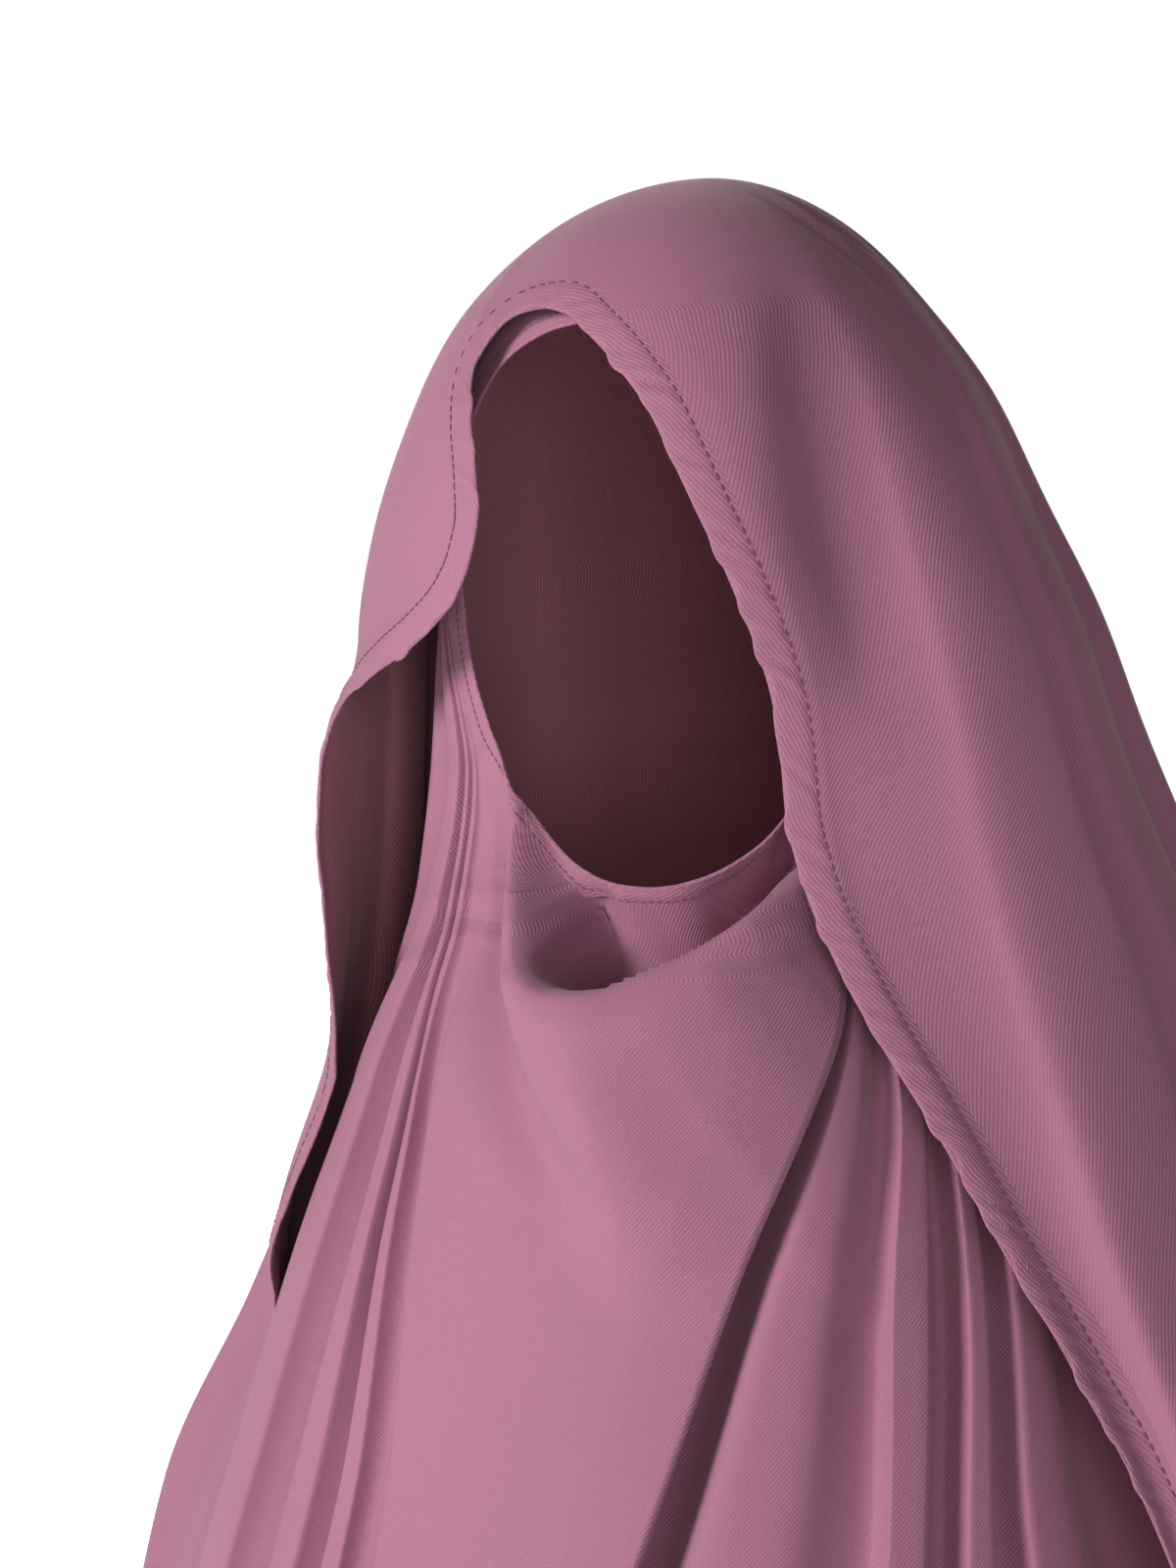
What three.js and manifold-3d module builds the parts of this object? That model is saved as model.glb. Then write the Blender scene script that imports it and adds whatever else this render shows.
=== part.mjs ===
// Two-layer khimar veil, as worn: a closed inner khimar with a face opening and a cowl
// under the chin, and an open-fronted outer veil over it, edged with a turned hem.
// Millimetres, +Z up, origin on the crown where the veil sits. The face looks towards -Y.
import * as THREE from 'three';
import { mergeVertices } from 'three/addons/utils/BufferGeometryUtils.js';
import Module from 'manifold-3d';

const wasm = await Module();
wasm.setup();

// Driving dimensions
const veilLength = 720; // crown to bottom hem
const veilWidth = 590; // across the bottom hem, side to side
const veilDepth = 528; // across the bottom hem, front to back
const wall = 1.6; // thickness of either cloth layer
const layerGap = 0.8; // between the two layers where they sit on each other at the crown
const foldDepth = 30; // deepest fold of either layer
const hemTurn = 11; // width of the turned hem along the outer veil's front edge
const hemWall = 1.2; // thickness of the turned hem
const hemGap = 0.5; // between the turned hem and the veil that it is sewn to
const browDrop = 37; // crown down to the top of the outer veil's front edge
const faceTop = 38; // crown down to the top of the face opening
const faceHeight = 178; // height of the face opening
const bindingWidth = 4; // width of the binding round the face opening
const bindingWall = 1.4; // thickness of the binding
const bindingGap = 0.6; // between the binding and the cloth that it edges
const bindingProud = 1.5; // how far the binding stands past the cloth's edge
const clearance = 0.3; // least gap between a strip and any cloth near it
const cowlReach = 28; // how far the cowl under the chin stands forward
const chinDrop = faceTop + faceHeight;

const foldColumns = 2; // grid columns from one fold line to the next
const edgeColumns = 5; // grid columns from the outer veil's front edges to their next lines
const cowlColumns = 6; // grid columns from the inner khimar's centre front to its next lines
const outerRows = { closed: 6, open: 17 };
const innerRows = { brow: 4, face: 9, chest: 14 };

// Outer veil, level sections. drop is a share of veilLength, right and left are shares of
// veilWidth, front and back are shares of veilDepth, all measured out from the crown's axis.
const outerSections = [
  { drop: 0, right: 0, left: 0, front: 0, back: 0 },
  { drop: 0.029, right: 0.085, left: 0.1, front: 0.125, back: 0.125 },
  { drop: 0.063, right: 0.122, left: 0.142, front: 0.17, back: 0.174 },
  { drop: 0.104, right: 0.156, left: 0.17, front: 0.197, back: 0.22 },
  { drop: 0.153, right: 0.183, left: 0.195, front: 0.205, back: 0.246 },
  { drop: 0.208, right: 0.214, left: 0.212, front: 0.206, back: 0.265 },
  { drop: 0.264, right: 0.237, left: 0.222, front: 0.21, back: 0.284 },
  { drop: 0.319, right: 0.263, left: 0.231, front: 0.231, back: 0.303 },
  { drop: 0.396, right: 0.302, left: 0.249, front: 0.277, back: 0.331 },
  { drop: 0.472, right: 0.339, left: 0.281, front: 0.318, back: 0.364 },
  { drop: 0.556, right: 0.38, left: 0.334, front: 0.367, back: 0.394 },
  { drop: 0.661, right: 0.42, left: 0.403, front: 0.417, back: 0.428 },
  { drop: 1, right: 0.508, left: 0.492, front: 0.504, back: 0.496 },
];

// How far the inner khimar lies inside the outer veil's inner face, in the same shares.
const innerEase = [
  { drop: 0, right: 0, left: 0, front: 0, back: 0 },
  { drop: 0.018, right: 0, left: 0, front: 0, back: 0 },
  { drop: 0.036, right: 0.004, left: 0.006, front: 0.009, back: 0.004 },
  { drop: 0.063, right: 0.007, left: 0.009, front: 0.014, back: 0.008 },
  { drop: 0.104, right: 0.014, left: 0.016, front: 0.022, back: 0.019 },
  { drop: 0.153, right: 0.027, left: 0.032, front: 0.026, back: 0.03 },
  { drop: 0.208, right: 0.051, left: 0.045, front: 0.03, back: 0.042 },
  { drop: 0.264, right: 0.068, left: 0.046, front: 0.036, back: 0.049 },
  { drop: 0.319, right: 0.076, left: 0.042, front: 0.036, back: 0.057 },
  { drop: 0.396, right: 0.083, left: 0.024, front: 0.018, back: 0.062 },
  { drop: 0.472, right: 0.083, left: 0.018, front: 0.016, back: 0.064 },
  { drop: 0.556, right: 0.083, left: 0.034, front: 0.016, back: 0.064 },
  { drop: 0.661, right: 0.08, left: 0.06, front: 0.016, back: 0.06 },
  { drop: 1, right: 0.092, left: 0.085, front: 0.026, back: 0.076 },
];

// The outer veil's front edge. drop is a share of the way from browDrop to the bottom hem,
// right and left are the edge's angles from straight ahead, and flare is how far the left
// edge stands out, a share of foldDepth.
const frontEdge = [
  { drop: 0, right: -20, left: -20, flare: 0 },
  { drop: 0.007, right: -12, left: -34, flare: 0 },
  { drop: 0.023, right: -3, left: -37, flare: 0 },
  { drop: 0.045, right: 4.5, left: -33, flare: 0 },
  { drop: 0.07, right: 9, left: -29, flare: 0 },
  { drop: 0.092, right: 12.5, left: -27.5, flare: 0 },
  { drop: 0.114, right: 16, left: -29.5, flare: 0 },
  { drop: 0.133, right: 18.5, left: -34, flare: 0 },
  { drop: 0.154, right: 21, left: -44, flare: 0 },
  { drop: 0.171, right: 22.5, left: -56, flare: 0.05 },
  { drop: 0.187, right: 23.3, left: -66, flare: 0.15 },
  { drop: 0.204, right: 23.6, left: -71, flare: 0.25 },
  { drop: 0.224, right: 23.8, left: -72, flare: 0.32 },
  { drop: 0.256, right: 25.6, left: -72, flare: 0.3 },
  { drop: 0.291, right: 29, left: -71, flare: 0.15 },
  { drop: 0.321, right: 32.5, left: -67, flare: 0 },
  { drop: 0.348, right: 35.8, left: -62, flare: -0.15 },
  { drop: 0.373, right: 38.4, left: -58, flare: -0.2 },
  { drop: 0.422, right: 42.5, left: -60, flare: -0.12 },
  { drop: 0.451, right: 45, left: -64, flare: -0.16 },
  { drop: 0.475, right: 46.4, left: -68, flare: -0.3 },
  { drop: 0.495, right: 47.8, left: -70, flare: -0.55 },
  { drop: 0.546, right: 49.8, left: -70, flare: -1.05 },
  { drop: 0.643, right: 52, left: -69, flare: -1.25 },
  { drop: 1, right: 55, left: -70, flare: -1.25 },
];

// The face opening of the inner khimar. drop is a share of faceHeight below faceTop, and
// right and left are the edge's angles.
const faceEdge = [
  { drop: 0, right: -1, left: -1 },
  { drop: 0.03, right: 22, left: -24 },
  { drop: 0.1, right: 36, left: -38 },
  { drop: 0.25, right: 44, left: -46 },
  { drop: 0.42, right: 46, left: -48 },
  { drop: 0.56, right: 45, left: -47 },
  { drop: 0.7, right: 40, left: -41 },
  { drop: 0.84, right: 30.5, left: -30 },
  { drop: 0.92, right: 23, left: -22.5 },
  { drop: 0.97, right: 14, left: -15 },
  { drop: 1, right: -1, left: -1 },
];

// Heights at which the fold tables give a value, as shares of veilLength.
const stations = {
  crown: 0, brow: 0.12, temple: 0.19, cheek: 0.26, chin: 0.3, neck: 0.34,
  yoke: 0.39, chest: 0.45, bust: 0.56, waist: 0.66, hem: 1,
};

// Folds of the outer veil, alternately valley and crest, from the right front edge round the
// back to the left front edge. Station columns are angles, follow is the share in which a line
// moves with the nearer front edge, and out is the fold's height at the cheek, the chest and
// the hem as shares of foldDepth.
const outerFolds = [
  { name: 'front edge', follow: 1, out: [0, 0, 0], cheek: 30, chest: 50, hem: 55 },
  { name: 'dent', follow: 0.35, out: [-0.05, -0.08, -0.1],
    crown: 40, brow: 40, cheek: 40, chest: 52, hem: 58 },
  { name: 'crest', follow: 0, out: [0.14, 0.25, 0.3],
    crown: 66, brow: 61, cheek: 64, neck: 61.5, chest: 57.5, hem: 62 },
  { name: 'valley', follow: 0, out: [-0.5, -0.7, -0.8],
    crown: 84, brow: 74, cheek: 71, neck: 73, chest: 74, hem: 76 },
  { name: 'ridge', follow: 0, out: [-0.1, -0.1, 0], crown: 92, brow: 86, cheek: 83, chest: 86, hem: 90 },
  { name: 'valley', follow: 0, out: [-0.3, -0.45, -0.6],
    crown: 102, brow: 98, cheek: 93, chest: 98, hem: 103 },
  { name: 'crest', follow: 0, out: [0.05, 0.1, 0.2],
    crown: 114, brow: 111, cheek: 109, chest: 112, hem: 116 },
  { name: 'valley', follow: 0, out: [-0.3, -0.5, -0.7], crown: 126, cheek: 123, chest: 126, hem: 129 },
  { name: 'crest', follow: 0, out: [0.05, 0.1, 0.2], crown: 139, cheek: 138, chest: 140, hem: 142 },
  { name: 'valley', follow: 0, out: [-0.3, -0.5, -0.75], crown: 152, cheek: 152, chest: 153, hem: 154 },
  { name: 'crest', follow: 0, out: [0.05, 0.12, 0.25], crown: 166, cheek: 166, chest: 166, hem: 166 },
  { name: 'valley', follow: 0, out: [-0.25, -0.45, -0.7], crown: 179, cheek: 179, chest: 178, hem: 178 },
  { name: 'crest', follow: 0, out: [0.05, 0.1, 0.2], crown: 192, cheek: 192, chest: 191, hem: 190 },
  { name: 'valley', follow: 0, out: [-0.28, -0.5, -0.75], crown: 206, cheek: 206, chest: 204, hem: 203 },
  { name: 'crest', follow: 0, out: [0.05, 0.12, 0.25], crown: 220, cheek: 220, chest: 218, hem: 216 },
  { name: 'valley', follow: 0, out: [-0.25, -0.4, -0.65], crown: 234, cheek: 233, chest: 231, hem: 229 },
  { name: 'crest', follow: 0, out: [0.04, 0.1, 0.2], crown: 248, cheek: 246, chest: 245, hem: 243 },
  { name: 'valley', follow: 0, out: [-0.15, -0.25, -0.5], crown: 261, cheek: 257, chest: 256, hem: 255 },
  { name: 'crest', follow: 0.1, out: [0.03, 0.05, 0.15],
    crown: 275, brow: 272, cheek: 267, chest: 266, hem: 266 },
  { name: 'dent', follow: 0.5, out: [-0.04, -0.05, -0.2],
    crown: 295, brow: 290, cheek: 277, chest: 277, hem: 275 },
  { name: 'front edge', follow: 1, out: [0, 0, 0], cheek: 288, chest: 296, hem: 282 },
];

// Folds of the inner khimar, from the centre front round by the right and the back to the
// centre front again, in the same columns.
const innerFolds = [
  { name: 'centre', follow: 1, out: [0, 0, 0],
    cheek: -1, neck: -1, chest: -8, bust: -14, waist: -20, hem: -28 },
  { name: 'bib edge', follow: 0, out: [0, 0.04, 0.08],
    temple: 51, cheek: 38, chin: 35.5, neck: 31, yoke: 22.8, chest: 13.6, bust: 3, waist: -4.6, hem: -14 },
  { name: 'deep valley', follow: 0, out: [-0.1, -0.85, -1],
    temple: 52.5, cheek: 39.5, chin: 37.2, neck: 33.5,
    yoke: 25.4, chest: 16, bust: 5.5, waist: -2, hem: -11.5 },
  { name: 'crest', follow: 0, out: [0, -0.04, 0],
    temple: 54, cheek: 41.2, chin: 39, neck: 35.5, yoke: 29, chest: 22, bust: 13.6, waist: 7, hem: 1 },
  { name: 'valley', follow: 0, out: [-0.04, -0.24, -0.35],
    temple: 55.5, cheek: 43, chin: 41.2, neck: 38, yoke: 34.5, chest: 31, bust: 26, waist: 21, hem: 14 },
  { name: 'crest', follow: 0, out: [0, 0, 0.05],
    temple: 57, cheek: 45, chin: 43.5, neck: 40.5,
    yoke: 38, chest: 33.8, bust: 28.6, waist: 24.6, hem: 19 },
  { name: 'valley', follow: 0, out: [-0.04, -0.3, -0.4],
    temple: 58.5, cheek: 47.2, chin: 45.8, neck: 43.2,
    yoke: 41.2, chest: 38.4, bust: 33, waist: 29.4, hem: 26 },
  { name: 'crest', follow: 0, out: [0, 0, 0],
    temple: 60, cheek: 49.6, chin: 48.2, neck: 46, yoke: 44.5, chest: 42.5, bust: 37, waist: 34, hem: 32 },
  { name: 'valley', follow: 0, out: [-0.04, -0.28, -0.4],
    temple: 62, cheek: 52.4, chin: 51.2, neck: 49, yoke: 48, chest: 46.6, bust: 41, waist: 39, hem: 39 },
  { name: 'crest', follow: 0, out: [0, 0, 0],
    temple: 64.5, cheek: 55.6, neck: 53, chest: 51, bust: 46, waist: 45, hem: 47 },
  { name: 'valley', follow: 0, out: [-0.08, -0.3, -0.45],
    temple: 68, cheek: 61, neck: 60, chest: 58, bust: 55, waist: 55, hem: 59 },
  { name: 'crest', follow: 0, out: [0, 0, 0], cheek: 74, chest: 73, hem: 74 },
  { name: 'valley', follow: 0, out: [-0.08, -0.2, -0.4], cheek: 90, chest: 91, hem: 92 },
  { name: 'crest', follow: 0, out: [0, 0, 0], cheek: 112, chest: 112, hem: 112 },
  { name: 'valley', follow: 0, out: [-0.08, -0.2, -0.45], cheek: 134, chest: 134, hem: 134 },
  { name: 'crest', follow: 0, out: [0, 0, 0], cheek: 157, chest: 157, hem: 157 },
  { name: 'valley', follow: 0, out: [-0.08, -0.2, -0.45], cheek: 180, chest: 180, hem: 180 },
  { name: 'crest', follow: 0, out: [0, 0, 0], cheek: 203, chest: 203, hem: 203 },
  { name: 'valley', follow: 0, out: [-0.08, -0.2, -0.45], cheek: 226, chest: 226, hem: 226 },
  { name: 'crest', follow: 0, out: [0, 0, 0], cheek: 248, chest: 248, hem: 248 },
  { name: 'valley', follow: 0, out: [-0.08, -0.2, -0.4], cheek: 268, chest: 263, hem: 262 },
  { name: 'low crest', follow: 0, out: [0, -0.2, -0.5],
    temple: 285, cheek: 287, neck: 281, chest: 276, hem: 275 },
  { name: 'deep valley', follow: 0, out: [-0.1, -0.75, -1.1],
    temple: 289, cheek: 298, neck: 293, chest: 289, hem: 288 },
  { name: 'crest', follow: 0, out: [0, 0.06, 0.12],
    temple: 292.5, cheek: 303, chin: 303, neck: 303.5, chest: 304, bust: 305, hem: 303 },
  { name: 'valley', follow: 0, out: [-0.06, -0.36, -0.4],
    temple: 295, cheek: 307, chin: 307.5, neck: 309.5, yoke: 313, chest: 314.5, bust: 315.4, hem: 310 },
  { name: 'crest', follow: 0, out: [-0.02, -0.05, -0.05],
    temple: 297, cheek: 309.5, chin: 310, neck: 312.5, yoke: 316.5, chest: 318.4, bust: 320.4, hem: 315 },
  { name: 'valley', follow: 0, out: [-0.05, -0.3, -0.35],
    temple: 299, cheek: 312, chin: 312.5, neck: 315.5, yoke: 319.8, chest: 322, bust: 325.4, hem: 319.5 },
  { name: 'crest', follow: 0, out: [-0.02, -0.05, -0.05],
    temple: 301, cheek: 314.5, chin: 315.5, neck: 318.5, yoke: 322.8, chest: 325.2, bust: 329.4, hem: 324 },
  { name: 'valley', follow: 0, out: [-0.03, -0.2, -0.3],
    temple: 303.5, cheek: 317, chin: 318.5, neck: 321.5,
    yoke: 325.6, chest: 328.4, bust: 333.4, hem: 328.5 },
  { name: 'crest', follow: 0, out: [0, 0, 0],
    temple: 306.5, cheek: 322, chin: 325, neck: 329, yoke: 331, chest: 334, bust: 339.5, hem: 334 },
  { name: 'centre', follow: 1, out: [0, 0, 0],
    cheek: 359, neck: 359, chest: 352, bust: 346, waist: 340, hem: 332 },
];

// The cowl under the chin. Its crest runs from the right cheek down under the chin and up to
// the left. drop is a share of faceHeight below faceTop, reach is how far the crest stands
// forward and inside is the width of its slope towards the face, both shares of cowlReach.
const cowlCrest = [
  { angle: -41, drop: 0.629, reach: 0, inside: 0.2 },
  { angle: -33.8, drop: 0.73, reach: 0.017, inside: 0.2 },
  { angle: -28.3, drop: 0.818, reach: 0.09, inside: 0.2 },
  { angle: -26.5, drop: 0.879, reach: 0.23, inside: 0.2 },
  { angle: -24.4, drop: 0.926, reach: 0.36, inside: 0.2 },
  { angle: -22, drop: 0.972, reach: 0.48, inside: 0.22 },
  { angle: -19.5, drop: 1.016, reach: 0.62, inside: 0.34 },
  { angle: -17, drop: 1.066, reach: 0.77, inside: 0.42 },
  { angle: -14, drop: 1.108, reach: 0.87, inside: 0.5 },
  { angle: -9.4, drop: 1.127, reach: 0.95, inside: 0.56 },
  { angle: -4, drop: 1.124, reach: 1, inside: 0.56 },
  { angle: 1.5, drop: 1.101, reach: 1, inside: 0.5 },
  { angle: 8.4, drop: 1.063, reach: 0.93, inside: 0.36 },
  { angle: 13.6, drop: 1.045, reach: 0.78, inside: 0.27 },
  { angle: 20, drop: 1.002, reach: 0.55, inside: 0.2 },
  { angle: 24, drop: 0.976, reach: 0.4, inside: 0.18 },
  { angle: 29, drop: 0.955, reach: 0.28, inside: 0.16 },
  { angle: 34, drop: 0.949, reach: 0.14, inside: 0.16 },
  { angle: 43, drop: 0.949, reach: 0, inside: 0.16 },
];
// The cowl's profile across its crest: away is the distance from the crest, towards the face as
// a share of the slope's width and the other way as a share of cowlReach.
const cowlProfile = [
  { away: -2, out: 0 },
  { away: -1.2, out: -0.05 },
  { away: -0.8, out: 0.1 },
  { away: -0.35, out: 0.6 },
  { away: -0.1, out: 0.92 },
  { away: 0.06, out: 1 },
  { away: 0.35, out: 0.95 },
  { away: 0.9, out: 0.7 },
  { away: 1.6, out: 0.42 },
  { away: 2.6, out: 0.12 },
  { away: 3.6, out: 0 },
];
const foldsFrom = [0.15, 1.1]; // distances beyond the crest over which the folds grow

// Monotone cubic through the points (xs, ys), flat beyond both ends.
function curveThrough(xs, ys) {
  const last = xs.length - 1;
  const widths = xs.slice(1).map((x, i) => x - xs[i]);
  const slopes = widths.map((w, i) => (ys[i + 1] - ys[i]) / w);
  const tangents = ys.map((y, i) => {
    if (i === 0) return slopes[0];
    if (i === last) return slopes[last - 1];
    if (slopes[i - 1] * slopes[i] <= 0) return 0;
    const near = 2 * widths[i] + widths[i - 1];
    const far = widths[i] + 2 * widths[i - 1];
    return (near + far) / (near / slopes[i - 1] + far / slopes[i]);
  });
  return (x) => {
    const at = Math.min(Math.max(x, xs[0]), xs[last]);
    let i = 0;
    while (i < last - 1 && at > xs[i + 1]) i += 1;
    const t = (at - xs[i]) / widths[i];
    const start = (1 + 2 * t) * (1 - t) ** 2 * ys[i] + t * (1 - t) ** 2 * widths[i] * tangents[i];
    const end = t * t * (3 - 2 * t) * ys[i + 1] + t * t * (t - 1) * widths[i] * tangents[i + 1];
    return start + end;
  };
}

const column = (rows, key, name) => curveThrough(rows.map((row) => row[key]), rows.map((row) => row[name]));
const rootColumn = (rows, name) => {
  const curve = curveThrough(rows.map((row) => Math.sqrt(row.drop)), rows.map((row) => row[name]));
  return (share) => curve(Math.sqrt(Math.max(share, 0)));
};
const smooth = (low, high, x) => {
  const t = Math.min(Math.max((x - low) / (high - low), 0), 1);
  return t * t * (3 - 2 * t);
};
const mix = (a, b, t) => a + (b - a) * t;
const radians = (degrees) => (degrees * Math.PI) / 180;

// Quarter ellipses between the right, left, front and back reaches at one drop.
function levelRadius(sideReach, depthReach, angle) {
  const across = Math.sin(radians(angle)) / sideReach;
  const along = Math.cos(radians(angle)) / depthReach;
  return 1 / Math.hypot(across, along);
}

const sides = ['right', 'left', 'front', 'back'];
const outerReach = Object.fromEntries(sides.map((side) => [side, rootColumn(outerSections, side)]));
const ease = Object.fromEntries(sides.map((side) => [side, rootColumn(innerEase, side)]));

// Radius of the outer veil without its folds.
function outerRadius(drop, angle) {
  const share = drop / veilLength;
  const side = Math.sin(radians(angle)) >= 0 ? 'right' : 'left';
  const fore = Math.cos(radians(angle)) >= 0 ? 'front' : 'back';
  return levelRadius(outerReach[side](share) * veilWidth, outerReach[fore](share) * veilDepth, angle);
}

// Radius of the inner khimar without its folds and its seat: inside the outer veil by the
// ease at that height.
function innerRadius(drop, angle) {
  const share = drop / veilLength;
  const side = Math.sin(radians(angle)) >= 0 ? 'right' : 'left';
  const fore = Math.cos(radians(angle)) >= 0 ? 'front' : 'back';
  const sideReach = (outerReach[side](share) - ease[side](share)) * veilWidth;
  const depthReach = (outerReach[fore](share) - ease[fore](share)) * veilDepth;
  return levelRadius(sideReach, depthReach, angle);
}

// Upward part of the cloth's normal over the rounded crown, 0 from the temples down.
const crownRound = 0.125; // height of the rounded crown, share of veilLength
const upwardAt = (drop) => Math.max(0, 1 - drop / (crownRound * veilLength));

// Angle of a fold line at each height, through the stations that its row gives.
function foldAngle(fold) {
  const names = Object.keys(stations).filter((name) => fold[name] !== undefined);
  return curveThrough(names.map((name) => stations[name]), names.map((name) => fold[name]));
}

const foldHeights = [0, stations.brow, stations.cheek, stations.chest, stations.hem];
const browShare = 0.4; // a fold's height at the brow, share of its height at the cheek
function foldOut(fold) {
  const [cheek, chest, hem] = fold.out;
  return curveThrough(foldHeights, [0, cheek * browShare, cheek, chest, hem]);
}

const valleyWidth = 1.6; // above 1 a valley is narrower than its crests
const wallSteepness = 0.6; // 0 is an even wave, near 1 the folds' sides stand steep

// A folded surface: place(u, v) for u from 0 to the number of fold intervals, v from 0 at
// the crown to 1 at the bottom hem.
function foldedSurface(folds, firstEdge, lastEdge, dropAt, radiusAt) {
  const angles = folds.map(foldAngle);
  const outs = folds.map(foldOut);
  const last = folds.length - 1;
  const lineAngle = (i, share, edges) => {
    const own = angles[i](share);
    const first = edges.first - angles[0](share);
    const final = edges.last - angles[last](share);
    return own + folds[i].follow * (i < last / 2 ? first : final);
  };
  return (u, v) => {
    const i = Math.min(Math.floor(u), last - 1);
    const t = u - i;
    const drop = dropAt(u, v);
    const share = drop / veilLength;
    const edges = { first: firstEdge(drop), last: lastEdge(drop) };
    const near = outs[i](share);
    const far = outs[i + 1](share);
    const turn = t + (wallSteepness * Math.sin(2 * Math.PI * t)) / (2 * Math.PI);
    const angle = mix(lineAngle(i, share, edges), lineAngle(i + 1, share, edges), turn);
    const fromCrest = near > far ? (1 - Math.cos(Math.PI * t)) / 2 : (1 + Math.cos(Math.PI * t)) / 2;
    const out = mix(Math.max(near, far), Math.min(near, far), fromCrest ** valleyWidth) * foldDepth;
    return radiusAt(angle, drop, out, u, edges);
  };
}

const cylinderPoint = (angle, radius, drop) =>
  new THREE.Vector3(radius * Math.sin(radians(angle)), -radius * Math.cos(radians(angle)), -drop);

// Outer veil
const edgeDrop = (drop) => (drop - browDrop) / (veilLength - browDrop);
const rightEdge = rootColumn(frontEdge, 'right');
const leftEdge = rootColumn(frontEdge, 'left');
const edgeFlare = rootColumn(frontEdge, 'flare');
const outerSpan = outerFolds.length - 1;
const browRow = outerRows.closed / (outerRows.closed + outerRows.open);
const edgeRows = 1.7; // rows crowd towards the brow along the front edges
const flareWidth = 2.2; // fold intervals over which the left edge's flare dies out
const edgeWidth = 3; // fold intervals over which the rows leave the front edge's spacing

function outerDrop(u, v) {
  const root = Math.sqrt(browDrop / veilLength);
  if (v <= browRow) return veilLength * ((root * v) / browRow) ** 2;
  const t = (v - browRow) / (1 - browRow);
  const behind = veilLength * (root + (1 - root) * t) ** 2;
  const edge = browDrop + (veilLength - browDrop) * t ** edgeRows;
  const fromEdge = Math.min(u, outerSpan - u);
  return mix(edge, behind, smooth(0, edgeWidth, fromEdge));
}

const outerPlace = foldedSurface(
  outerFolds,
  (drop) => rightEdge(edgeDrop(drop)),
  (drop) => 360 + leftEdge(edgeDrop(drop)),
  outerDrop,
  (angle, drop, out, u) => {
    const flare = edgeFlare(edgeDrop(drop)) * foldDepth * (1 - smooth(0, flareWidth, outerSpan - u));
    return cylinderPoint(angle, outerRadius(drop, angle) + out + flare, drop);
  },
);

// Inner khimar
const faceDrop = (drop) => (drop - faceTop) / faceHeight;
const rightFace = column(faceEdge, 'drop', 'right');
const leftFace = column(faceEdge, 'drop', 'left');
const innerSpan = innerFolds.length - 1;
const innerRowCount = innerRows.brow + innerRows.face + innerRows.chest;
const topRow = innerRows.brow / innerRowCount;
const chinRow = (innerRows.brow + innerRows.face) / innerRowCount;
const behindTop = faceTop * 1.1; // drop of the face's top row at the back of the head
const faceWidth = 4; // fold intervals over which the rows leave the face opening's spacing
const chestEven = 0.1; // share of even spacing in the rows below the chin
const chestCrowding = 2.2; // how much the other rows crowd towards the chin
const backCrowding = 1.3; // how much those rows crowd towards the chin's height at the back

function innerDrop(u, v) {
  const fromEdge = Math.min(u, innerSpan - u);
  const away = smooth(0, innerSpan / 2, fromEdge);
  if (v <= topRow) return mix(faceTop, behindTop, away) * (v / topRow) ** 2;
  if (v <= chinRow) {
    const t = (v - topRow) / (chinRow - topRow);
    const edge = faceTop + (faceHeight * (1 - Math.cos(Math.PI * t))) / 2;
    const behind = mix(behindTop, chinDrop, t);
    return mix(edge, behind, smooth(0, faceWidth, fromEdge));
  }
  const t = (v - chinRow) / (1 - chinRow);
  const edge = chinDrop + (veilLength - chinDrop) * mix(t ** chestCrowding, t, chestEven);
  const behind = chinDrop + (veilLength - chinDrop) * t ** backCrowding;
  return mix(edge, behind, smooth(faceWidth, innerSpan / 2, fromEdge));
}

// The crest line on the unrolled cloth, in millimetres, and its columns over its own length.
const perDegree = radians(1) * innerRadius(chinDrop, 0);
const crestPoints = cowlCrest.map((row) => [row.angle * perDegree, faceTop + row.drop * faceHeight]);
const crestLengths = crestPoints.reduce((lengths, point, i) => {
  const before = crestPoints[i - 1];
  const step = i > 0 ? Math.hypot(point[0] - before[0], point[1] - before[1]) : 0;
  return [...lengths, (i > 0 ? lengths[i - 1] : 0) + step];
}, []);
const crestReach = curveThrough(crestLengths, cowlCrest.map((row) => row.reach));
const crestInside = curveThrough(crestLengths, cowlCrest.map((row) => row.inside));
const profileOut = column(cowlProfile, 'away', 'out');

// Distance from the crest line, negative on the side of the face, and the place along it.
function nearCrest(angle, drop) {
  const x = angle * perDegree;
  let best = { distance: Infinity, away: 0, along: 0 };
  for (let i = 0; i < crestPoints.length - 1; i += 1) {
    const [startX, startY] = crestPoints[i];
    const length = crestLengths[i + 1] - crestLengths[i];
    const stepX = (crestPoints[i + 1][0] - startX) / length;
    const stepY = (crestPoints[i + 1][1] - startY) / length;
    const ahead = (x - startX) * stepX + (drop - startY) * stepY;
    const held = Math.min(Math.max(ahead, 0), length);
    const distance = Math.hypot(x - startX - held * stepX, drop - startY - held * stepY);
    if (distance < best.distance) {
      const isPast = (i === 0 && ahead < 0) || (i === crestPoints.length - 2 && ahead > length);
      const side = (drop - startY) * stepX - (x - startX) * stepY;
      const away = isPast || side > 0 ? distance : -distance;
      best = { distance, away, along: crestLengths[i] + held };
    }
  }
  return best;
}

const centreFirst = foldAngle(innerFolds[0]);
const centreLast = foldAngle(innerFolds[innerSpan]);
const inFace = (drop) => drop > faceTop && drop < chinDrop;

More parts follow.
